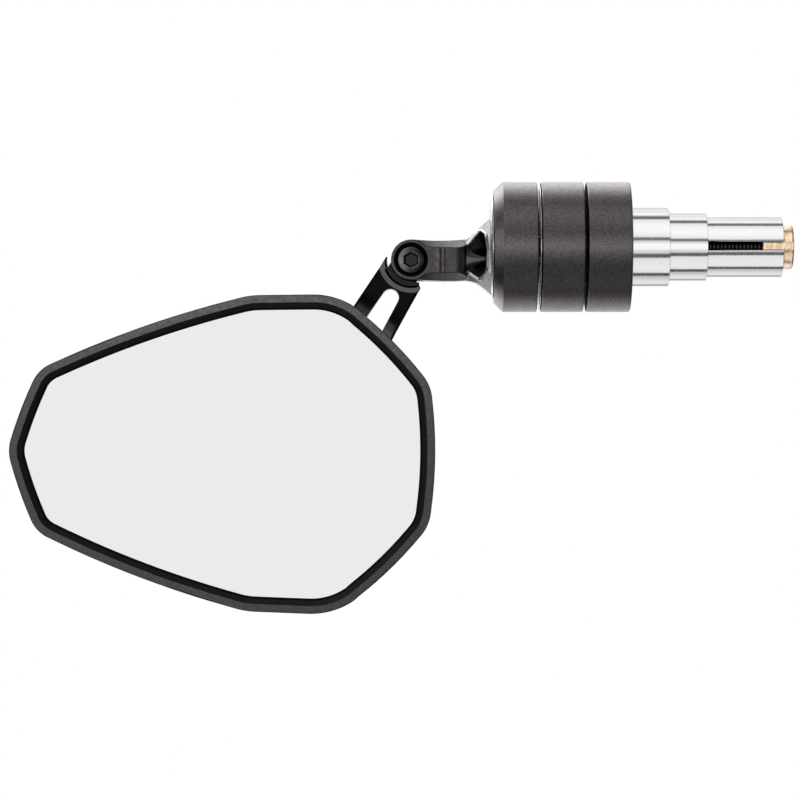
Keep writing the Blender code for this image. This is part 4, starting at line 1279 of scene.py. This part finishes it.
# Panels that light, and are blocked by, only some pieces. Each has a name, what it lights, its middle as
# degrees up and degrees to the right from straight ahead, its distance, width and height in metres, and
# its brightness
PANELS = (
    ("plug_front", "plug", (-2.3, 0), 0.5, 0.8, 0.345, 1.55),
    ("plug_upper", "plug", (56, 0), 0.5, 0.8, 0.58, 1.95),
    ("plug_lower", "plug", (-58.5, 0), 0.5, 0.8, 0.46, 1.95),
    ("plug_over", "plug", (108, 0), 0.5, 0.8, 0.14, 1.3),
    ("plug_under", "plug", (-118, 0), 0.5, 0.8, 0.42, 1.2),
    ("screw_left", "screw", (4, -29), 0.5, 0.34, 0.8, 1.0),
    ("neck_glint", "neck", (-69, -31), 0.06, 0.02, 0.035, 44.0),
    ("flare_front", "link", (9, -74), 0.5, 0.3, 0.4, 1.2),
    ("flare_upper", "link", (113, -45), 0.5, 0.25, 0.25, 1.0),
    ("flare_lower", "link", (-113, -45), 0.5, 0.25, 0.25, 1.2),
    ("head_top", "head", (10, -3), 0.36, 0.2, 0.04, 12.0),
    ("head_bottom", "head", (-12, -6), 0.36, 0.16, 0.04, 4.0),
)


def build_panels(lit):
    """`lit` gives, for each name in PANELS, the point that its panels face and the pieces that they light."""
    groups = {}
    for name, (_, pieces) in lit.items():
        groups[name] = bpy.data.collections.new("lit_" + name)
        for piece in pieces:
            groups[name].objects.link(piece)
    for name, group, (up, right), distance, width, height, radiance in PANELS:
        data = bpy.data.lights.new(name, "AREA")
        data.shape = "RECTANGLE"
        data.size, data.size_y = width, height
        data.energy = radiance * math.pi * width * height
        panel = add_object(name, data)
        up, right = math.radians(up), math.radians(right)
        outwards = Vector((math.sin(right), -math.cos(right) * math.cos(up), math.cos(right) * math.sin(up)))
        panel.location = lit[group][0] * MM + distance * outwards
        panel.rotation_euler = outwards.to_track_quat("Z", "Y").to_euler()
        panel.visible_camera = False
        panel.light_linking.receiver_collection = groups[group]
        panel.light_linking.blocker_collection = groups[group]


FLOOR_RADIUS = 0.9
FLOOR_DROP = 0.2  # below the object, in metres


def build_floor():
    builder = bmesh.new()
    bmesh.ops.create_circle(builder, cap_ends=True, segments=96, radius=FLOOR_RADIUS / MM)
    low = (CAD_BOX[0][2] - FLOOR_DROP) / MM
    middle = (CAD_BOX[0][0] + CAD_BOX[1][0]) / 2 / MM
    floor = object_from("floor", builder, Matrix.Translation((middle, 0, low)))
    paint = new_material("pale_floor", (0.93, 0.93, 0.93), 0.7, 0.0)
    vary_roughness(paint, add_noise(paint, 30, 2), 0.65, 0.75)
    floor.data.materials.append(paint)
    floor.visible_glossy = False


CAMERA_AT = (-0.06123, -0.930, -0.04084)
LENS = 156.7


def build_camera():
    data = bpy.data.cameras.new("camera")
    data.lens = LENS
    data.sensor_width = 36
    data.clip_end = 20
    camera = add_object("camera", data)
    camera.location = CAMERA_AT
    camera.rotation_euler = (math.radians(90), 0, 0)
    bpy.context.scene.camera = camera
    bpy.context.scene.view_settings.view_transform = "Standard"


build_rings()
build_seam_ring()
sleeve = build_sleeve()
build_bolt()
cone = build_cone()
arm = build_link()
build_flange()
screw = build_pivot_hardware()
neck = build_neck()
build_ball_stud()
shell = build_head()
build_glass()
build_socket_cap()
dress_kept_nodes()
build_world()
build_panels({
    "plug": (Vector((20, 0, 0)), [sleeve, cone]),
    "neck": (Vector((-63.3, -2.5, -22.3)), [neck]),
    "link": (PIVOT + Vector((18, 0, 0)), [arm]),
    "screw": (PIVOT, [screw]),
    "head": (HEAD_AT @ Vector((0, -14, 0)), [shell]),
})
build_floor()
build_camera()
